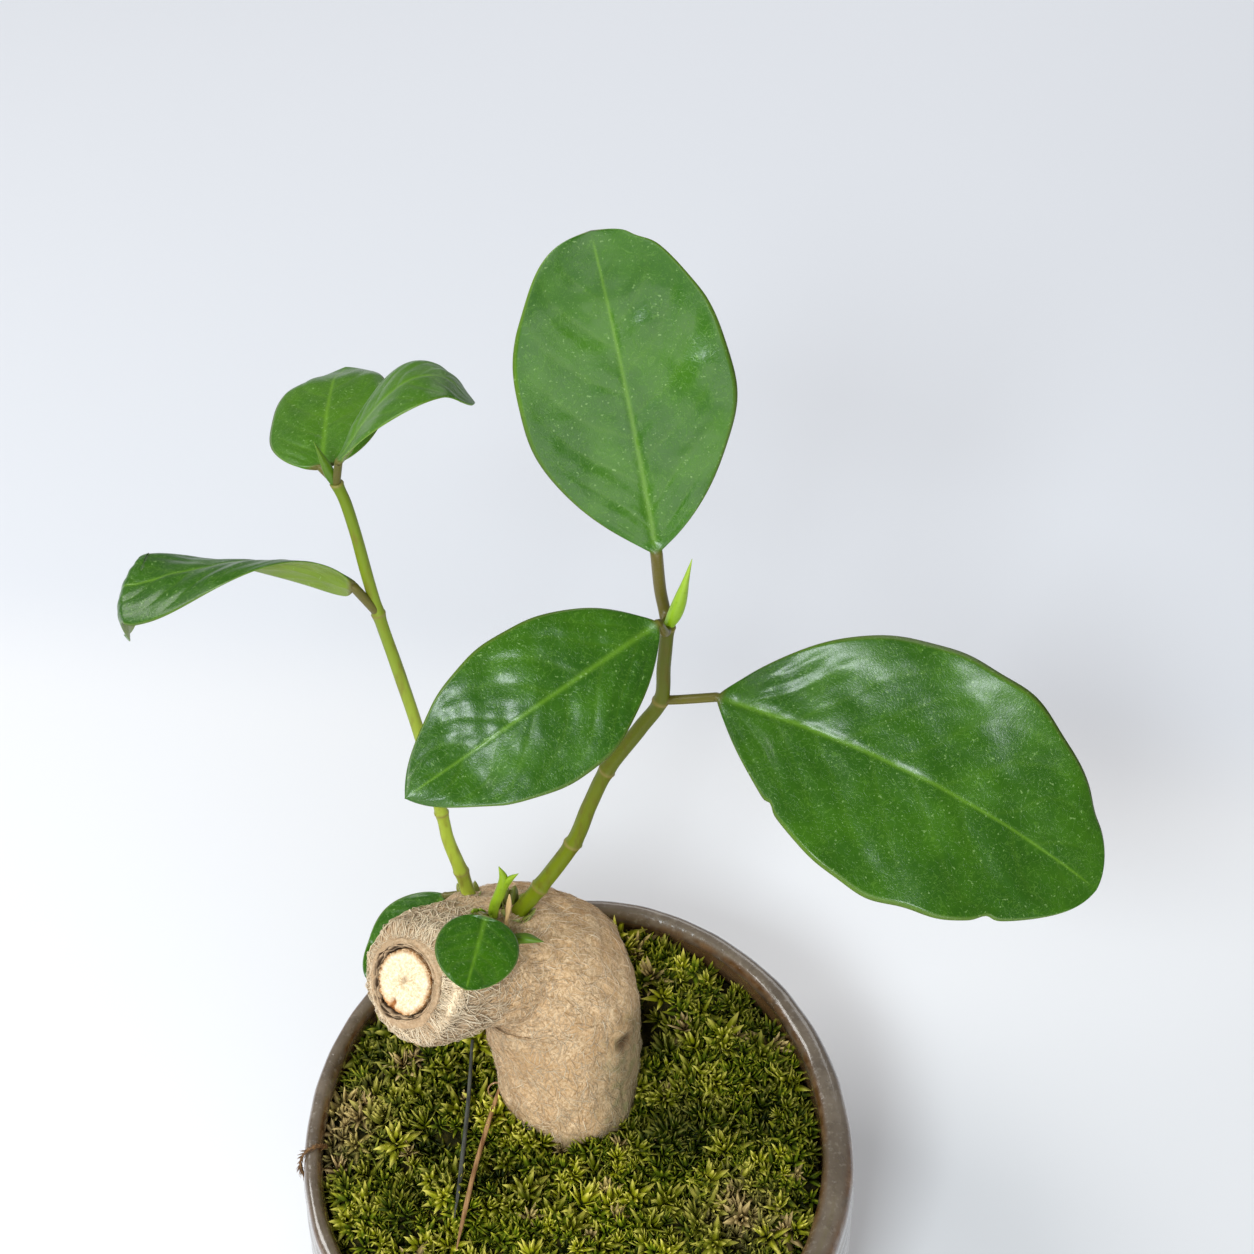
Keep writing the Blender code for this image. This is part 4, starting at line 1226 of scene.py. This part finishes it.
# %% Rosettes
def rosettes(name, spots, seed, size, leaflets, finish):
    """Star tufts at the spots, as one piece of closed leaflets."""
    draw = np.random.default_rng(seed)
    many = len(spots)
    root = np.column_stack([spots, moss_height(spots[:, 0], spots[:, 1])])
    lean = draw.normal(0, 0.32, (many, 2))
    stem = unit(np.column_stack([lean, np.ones(many)]))
    grown = size * draw.uniform(0.6, 1.45, many)
    order = np.arange(leaflets)[None, :]
    level = order / (leaflets - 1)
    turn = draw.uniform(0, TURN, (many, 1)) + order * GOLDEN_ANGLE
    turn = turn + draw.normal(0, 0.2, (many, leaflets))
    pitch = np.radians(8 + 68 * level) + draw.normal(0, 0.16, (many, leaflets))
    length = grown[:, None] * (1.05 - 0.4 * level) * draw.uniform(0.8, 1.2, (many, leaflets))
    across = polar(1, turn, 0)
    across = unit(across - stem[:, None] * (across * stem[:, None]).sum(-1, keepdims=True))
    out = across * np.cos(pitch)[..., None] + stem[:, None] * np.sin(pitch)[..., None]
    upper = stem[:, None] * np.cos(pitch)[..., None] - across * np.sin(pitch)[..., None]
    s = np.array([0, 0.3, 0.65, 1.0])
    foot = root[:, None] + stem[:, None] * ((-0.9 + 1.3 * level) * grown[:, None] / 2)[..., None]
    bend = (-0.30 + 0.45 * level) * length
    lines = (
        foot[:, :, None]
        + out[:, :, None] * (length[..., None] * s)[..., None]
        + upper[:, :, None] * (bend[..., None] * s ** 2)[..., None]
    ).reshape(-1, 4, 3)
    uppers = np.repeat(upper.reshape(-1, 1, 3), 4, 1)
    widths = (length * 0.155).reshape(-1, 1) * np.array([0.6, 1.0, 0.72, 0.05])

    def around_spot(x, y, width):
        return bell(np.linalg.norm(spots - (x, y), axis=1), width)

    patch = np.maximum(around_spot(28.8, -12.8, 5) * 0.9, around_spot(-43.6, 4.7, 7))
    patch = patch * draw.uniform(0.3, 1, many) + (draw.uniform(0, 1, many) > 0.965) * 0.7
    # Shade is painted light and shade, mixed with random patches: lighter on the hummocks and at
    # the front, darker in one patch on the right, and the pale tips show more where it is light.
    shade = 0.42 + 0.34 * lumps(spots, 17, 74) + 0.24 * lumps(spots, 8, 72)
    shade = shade + 0.4 * around_spot(7, -14, 12) - 0.5 * around_spot(18.4, -1.3, 7)
    shade = np.clip(shade + draw.normal(0, 0.2, many), 0, 1)
    each = leaflets * 12
    marks = {
        "tip": np.tile(np.repeat(s, 3), many * leaflets),
        "dry": np.repeat(np.clip(patch, 0, 1), each), "shade": np.repeat(shade, each),
    }
    piece(name, blades(lines, widths, uppers, 0.55), finish, marks=marks)

# %% Lay the moss
TUFTS = 1250
TUFT_SPACING = 2.5
spots = scattered(TUFTS, 75, TUFT_SPACING)
olive_moss = moss_finish("olive_moss", tone(50, 62, 0), tone(156, 158, 16), tone(236, 224, 108))
deep_moss = moss_finish("deep_moss", tone(30, 42, 0), tone(98, 116, 2), tone(184, 180, 48))
rosettes("moss_stars", spots[::3], 76, 3.8, 18, olive_moss)
rosettes("moss_stars_low", spots[1::3], 77, 3.1, 15, deep_moss)
rosettes("moss_stars_small", spots[2::3], 78, 2.6, 13, deep_moss)

# %% [markdown]
# ## Buds and young growth
#
# A fig's end bud is a single rolled sheath: a narrow bright horn with a seam that winds a
# little. The same tube recipe makes it when the radius swells just above the foot and dies
# away at the tip. The sprout, the side bud and the dead stalk beside it are smaller versions.

# %% Bud finish
def bud_finish(name, low, high):
    """The fresh green of a rolled bud, from its foot to its tip."""
    finish = Finish(name, {"Specular IOR Level": 0.4})
    mottle = finish.noise(0.9, 3)
    green = finish.mix(finish.mark("up"), low, high)
    green = finish.mix(finish.between(mottle, 0.5, 0.75) * 0.35, green, tone(90, 120, 20))
    green = finish.mix(finish.mark("seam") * 0.5, green, tone(96, 118, 22))
    return finish.cover(green, 0.36 + mottle * 0.15, mottle, 0.08, 0.5)


lime_bud = bud_finish("lime_bud", tone(122, 162, 0), tone(156, 184, 60))
green_bud = bud_finish("green_bud", tone(66, 102, 0), tone(84, 118, 8))
sprout_green = bud_finish("sprout_green", tone(124, 156, 18), tone(142, 170, 36))
dry_stem = bud_finish("dry_stem", tone(168, 136, 84), tone(204, 172, 122))

# %% Bud builder
def horn(knots, radii, steps, flat=0.12, twist=1.6, seam_depth=0.07, around=36):
    """A rolled, slightly flattened tube with a winding seam: its shape and its marks."""
    line = smooth_line(np.column_stack([knots, radii]), steps)
    length = walked(line)[-1]

    def swell(distance, angle):
        turned = angle - twist * distance / length
        seam = bell((turned + math.pi) % TURN - math.pi, 0.3)
        return line[:, 3:4] * (flat * np.cos(2 * turned) - seam_depth * seam)

    rings, distance = tube(line, around, swell)
    turned = circle(around) - twist * distance / length
    seam = bell((turned + math.pi) % TURN - math.pi, 0.35)
    up = np.repeat(distance / length, around, 1)
    return loft(rings), {"up": np.append(up, [0, 1]), "seam": np.append(seam, [0, 0])}


def bud(name, start, bend, tip, fullness, finish):
    """A pointed end bud on the end of a shoot."""
    start = np.array(start, float)
    knots = smooth_line([start, start + bend, start + tip], 7)
    radii = np.array((0.75, 1.0, 1.02, 0.86, 0.58, 0.32, 0.05)) * fullness
    shape, marks = horn(knots, radii, 110)
    piece(name, shape, finish, [name], marks)

# %% End buds
bud("bud_right", plant((15.3, 30.8, 111.6))[0], (1.2, 0, 4.2), (3.1, 1.2, 13.4), 1.05, lime_bud)
bud("bud_left", plant((-34.0, 39.0, 133.7))[0], (-1, 0.4, 3.4), (-2.4, 1, 7.8), 0.72, green_bud)

# %% Sprout, side bud and dead stalk
sprout_knots = plant(
    (-14.2, 18.8, 46.5), (-13.6, 18.6, 52), (-12.4, 18.9, 56), (-11.8, 19.2, 59.5),
    (-12.4, 19.3, 62.8),
)
fork_knots = plant((-12.5, 18.9, 55.8), (-10.8, 18.9, 59.6), (-9.2, 18.6, 61.8))
parts = [
    horn(sprout_knots, (0.8, 0.85, 0.95, 0.75, 0.08), 90, 0.1, 1.0, 0.12, 28),
    horn(fork_knots, (0.6, 0.62, 0.06), 60, 0.15, 0.8, 0.1, 28),
]
marks = {mark: np.concatenate([part[1][mark] for part in parts]) for mark in ("up", "seam")}
shape = join(*[part[0] for part in parts])
piece("young_sprout", shape, sprout_green, ["young_sprout"], marks)

bud_knots = plant((-10.9, 15.5, 44.5), (-10.2, 14.5, 48), (-8, 13.4, 50), (-5.2, 12.4, 50.6))
shape, marks = horn(bud_knots, (0.8, 1.25, 1.0, 0.06), 90, 0.3, 0.5, 0.15, 30)
piece("side_bud", shape, green_bud, ["side_bud"], marks)

stalk_knots = plant(
    (-12.2, 16.2, 45.5), (-11.6, 16.4, 50.5), (-11, 16.9, 55), (-10.8, 17.2, 57.7)
)
shape, marks = horn(stalk_knots, (0.45, 0.42, 0.38, 0.08), 80, 0.45, 3.0, 0.2, 20)
piece("dead_stalk", shape, dry_stem, ["dead_stalk"], marks)

# %% [markdown]
# ### Scales at the shoots' feet
#
# Each shoot once broke out between small scales, which stay on as a wrinkled collar. They are
# wide short blades that hug the stem and curl out at their tips, set a golden angle apart, which
# is quicker than shaping each one and overlaps them as real scales do.

# %% Scales
def scales(name, centre, lean, count, radius, length, width, seed, finish):
    """A collar of overlapping pointed scales round a stem."""
    draw = np.random.default_rng(seed)
    lean = unit(np.array(lean, float))
    across = unit(np.cross(lean, (0.3, 1, 0.2)))
    other = np.cross(lean, across)
    turn = np.arange(count) * 2.4 + draw.normal(0, 0.15, count)
    out = across * np.cos(turn)[:, None] + other * np.sin(turn)[:, None]
    s = np.linspace(0, 1, 9)
    grown = length * draw.uniform(0.7, 1.15, count)[:, None, None]
    foot = np.array(centre, float) + lean * (np.arange(count) / count * length * 0.6)[:, None]
    away = radius * (0.75 + 0.55 * np.sin(s * 2.2) + 0.35 * s ** 3)
    lines = (
        foot[:, None] + out[:, None] * away[None, :, None]
        + lean * (grown * s[None, :, None])
    )
    uppers = np.repeat(out[:, None], 9, 1)
    widths = width * draw.uniform(0.8, 1.2, (count, 1)) * np.sin(np.pi * (0.25 + 0.75 * s)) ** 0.8
    widths = np.maximum(widths, 0.03)
    up = np.tile(np.repeat(s, 3), count)
    marks = {"up": up, "seam": np.tile([0, 0, 0.8], len(up) // 3)}
    piece(name, blades(lines, widths, uppers, 0.35), finish, marks=marks)


wrinkled = bud_finish("wrinkled_scale", tone(110, 104, 44), tone(146, 150, 74))
scales("shoot_scales", plant((-11.3, 20.3, 44.6))[0], (0.35, 0.15, 0.92), 11, 2.1, 4.2, 1.15, 91,
       wrinkled)
scales("left_shoot_scales", plant((-18.2, 24.2, 43.4))[0], (-0.2, 0.3, 0.93), 6, 1.7, 3.0, 0.95, 92,
       wrinkled)
scales("lime_collar", plant((-16.5, 18.4, 46.6))[0], (0.1, -0.35, 0.93), 7, 1.35, 3.6, 1.25, 93,
       lime_bud)

# %% [markdown]
# ## What has fallen on the moss
#
# Two long needles lie across the moss, one dark, one brown and curling at its end, and a
# strand of dead moss hangs over the rim on the left. Needles are tubes with a shallow groove;
# the strand is a thin stem set with dry leaflets.

# %% Needles
def needle_finish(name, body, edge):
    """A dry needle, streaked along its length."""
    finish = Finish(name, {"Coat Weight": 0.15})
    streak = finish.noise(0.7, 3, 0.6, finish.stretched(1, 0.15, 1))
    colour = finish.mix(finish.between(streak, 0.35, 0.7), body, edge)
    return finish.cover(colour, 0.4 + streak * 0.25)


NEEDLE_LIFT = 4.0
dark_dry = needle_finish("dark_needle_skin", tone(36, 38, 34), tone(78, 80, 72))
brown_dry = needle_finish("brown_needle_skin", tone(112, 74, 40), tone(176, 136, 90))
for name, knots, radius, finish, slot in (
    ("dark_needle", [(-20, 20), (-20.2, 6.7), (-21, -8.4), (-21.6, -15.3)], 0.4, dark_dry,
     "needle_dark"),
    ("brown_needle", [(-14.4, 10.6), (-16, 4.5), (-18.4, -6), (-19.9, -14.7), (-20.9, -21.1)],
     0.42, brown_dry, "needle_brown"),
):
    radii = radius * np.array([0.7] + [1] * (len(knots) - 2) + [0.25])
    route = plant(*[(x, y, NEEDLE_LIFT) for x, y in knots])
    line = smooth_line(np.column_stack([route, radii]), 160)
    rings, _ = tube(line, 18, lambda d, a: -0.10 * bell((a + math.pi) % TURN - math.pi - 1.5, 0.5))
    piece(name, loft(rings), finish, [name])

curl_turn = np.linspace(0, 1.35 * math.pi, 40)
curl_line = np.column_stack([
    -15.2 + 1.5 * np.cos(curl_turn), 10.2 + 1.2 * np.sin(curl_turn),
    np.full(40, 63.0) + 0.6 * np.sin(curl_turn), 0.26 - 0.18 * curl_turn / curl_turn[-1],
])
piece("curled_needle_end", loft(tube(curl_line, 14)[0]), brown_dry)

# %% Strand of dead moss over the rim
SPIKES = 130
lip_middle = RIM_RADIUS - wall(math.pi) / 2
over = np.radians(np.arange(180, -61, -20))
swing = np.radians(180.5 + np.arange(len(over)) * 0.45)
stem_knots = polar(lip_middle + 2.3 * np.cos(over), swing, lip_level + 3.1 * np.sin(over))
stem_line = smooth_line(np.column_stack([stem_knots, np.linspace(0.3, 0.14, len(over))]), 90)
along, side, up = directions(stem_line[:, :3])
draw = np.random.default_rng(95)
where = np.sort(draw.integers(2, 88, SPIKES))
turn = draw.uniform(0, TURN, SPIKES)
out = side[where] * np.cos(turn)[:, None] + up[where] * np.sin(turn)[:, None]
s = np.array([0, 0.35, 0.7, 1.0])[None, :, None]
size = draw.uniform(0.8, 1.7, SPIKES)[:, None, None]
lines = stem_line[where, None, :3] + (along[where][:, None] * 0.8 + out[:, None] * 0.55) * size * s
widths = 0.17 * np.tile([0.7, 1, 0.6, 0.1], (SPIKES, 1))
spikes = blades(lines, widths, np.repeat(out[:, None], 4, 1))
dead = needle_finish("dead_moss_fibre", tone(92, 62, 32), tone(150, 112, 66))
piece("dead_moss_strand", join(loft(tube(stem_line, 12)[0]), spikes), dead,
      ["dead_moss_strand"])

# %% [markdown]
# ## Floor
#
# The plant stands on a pale table that runs on into a slightly greyer backdrop. Both tones
# are painted on one flat sheet with a soft edge between them, so that nothing stands in the way
# when the plant is looked at from behind. It isn't part of the plant.

# %% Stage
REACH = 3000.0
TABLE_END = 150.0
SOFT_EDGE = 22.0
TABLE_TURN = math.radians(8.4)
corners = REACH * np.array([(-1, -1, 0), (1, -1, 0), (1, 1, 0), (-1, 1, 0)])
floor = put("floor", skin("floor", corners, [(0, 1, 2, 3)]))
paper = Finish("pale_paper", {"Roughness": 0.75, "Specular IOR Level": 0.2})
table_axis = (math.sin(TABLE_TURN), math.cos(TABLE_TURN), 0)
back = paper.node(
    "ShaderNodeVectorMath", {"operation": "DOT_PRODUCT"}, {0: paper.place, 1: table_axis},
    out="Value",
)
greyer = paper.between(back, (TABLE_END - SOFT_EDGE) * MM, (TABLE_END + SOFT_EDGE) * MM)
paper.feed("Base Color", paper.mix(greyer, tone(233, 234, 237), tone(224, 227, 233)))
floor.data.materials.append(paper.material)

# %% [markdown]
# ## Light
#
# Soft daylight comes from a large window on the left and a little behind, so that the shadow falls
# to the right. A small bluish panel above the viewer puts the pale reflections on the leaves, a
# wide dim one in front fills the shadows, and one at the back keeps the far floor bright. Area
# lights are used because their size sets how soft a shadow is. The world gives the rest,
# slightly blue like a bright overcast sky.

# %% Lights
def panel(name, place, aim, width, height, power, colour):
    """A soft rectangular light at place, aimed at a point, both in millimetres."""
    light = bpy.data.lights.new(name, "AREA")
    light.shape = "RECTANGLE"
    light.size, light.size_y = width * MM, height * MM
    light.energy = power
    light.color = colour
    made = put(name, light)
    made.location = Vector(place) * MM
    made.rotation_euler = (Vector(aim) - Vector(place)).to_track_quat("-Z", "Y").to_euler()


panel("window_left", (-780, 90, 780), (0, 0, 70), 560, 560, 7.0, (1.0, 0.985, 0.96))
panel("sky_front", (-130, -350, 600), (0, 10, 120), 150, 120, 2.4, (0.88, 0.96, 1.0))
panel("room_front", (120, -700, 260), (0, 0, 110), 640, 480, 2.8, (1.0, 0.99, 0.975))
panel("room_back", (220, 700, 500), (120, 420, 0), 600, 400, 1.4, (1.0, 0.99, 0.98))
world = bpy.data.worlds.new("overcast")
world.use_nodes = True
sky = world.node_tree.nodes["Background"].inputs
sky["Color"].default_value = (0.96, 0.97, 1.0, 1)
sky["Strength"].default_value = 0.28
bpy.context.scene.world = world
bpy.context.scene.view_settings.view_transform = "Standard"

# %% [markdown]
# ## Camera
#
# The view is from the front and steeply above, so the pot runs out of the frame at the bottom and
# the leaves spread over the paler far floor. The lens is a short portrait one, which keeps the
# near stub and the far leaves in natural proportion.

# %% Camera
lens = bpy.data.cameras.new("camera")
lens.sensor_width = 36
lens.lens = 63.158
lens.clip_start = 0.01
camera = put("camera", lens)
camera.location = Vector((8.8, -184.4, 427.3)) * MM
camera.rotation_euler = (math.radians(40), 0, 0)
bpy.context.scene.camera = camera

# %% [markdown]
# ## The end
#
# The view layer is brought up to date once more.

# %% Finish
bpy.context.view_layer.update()
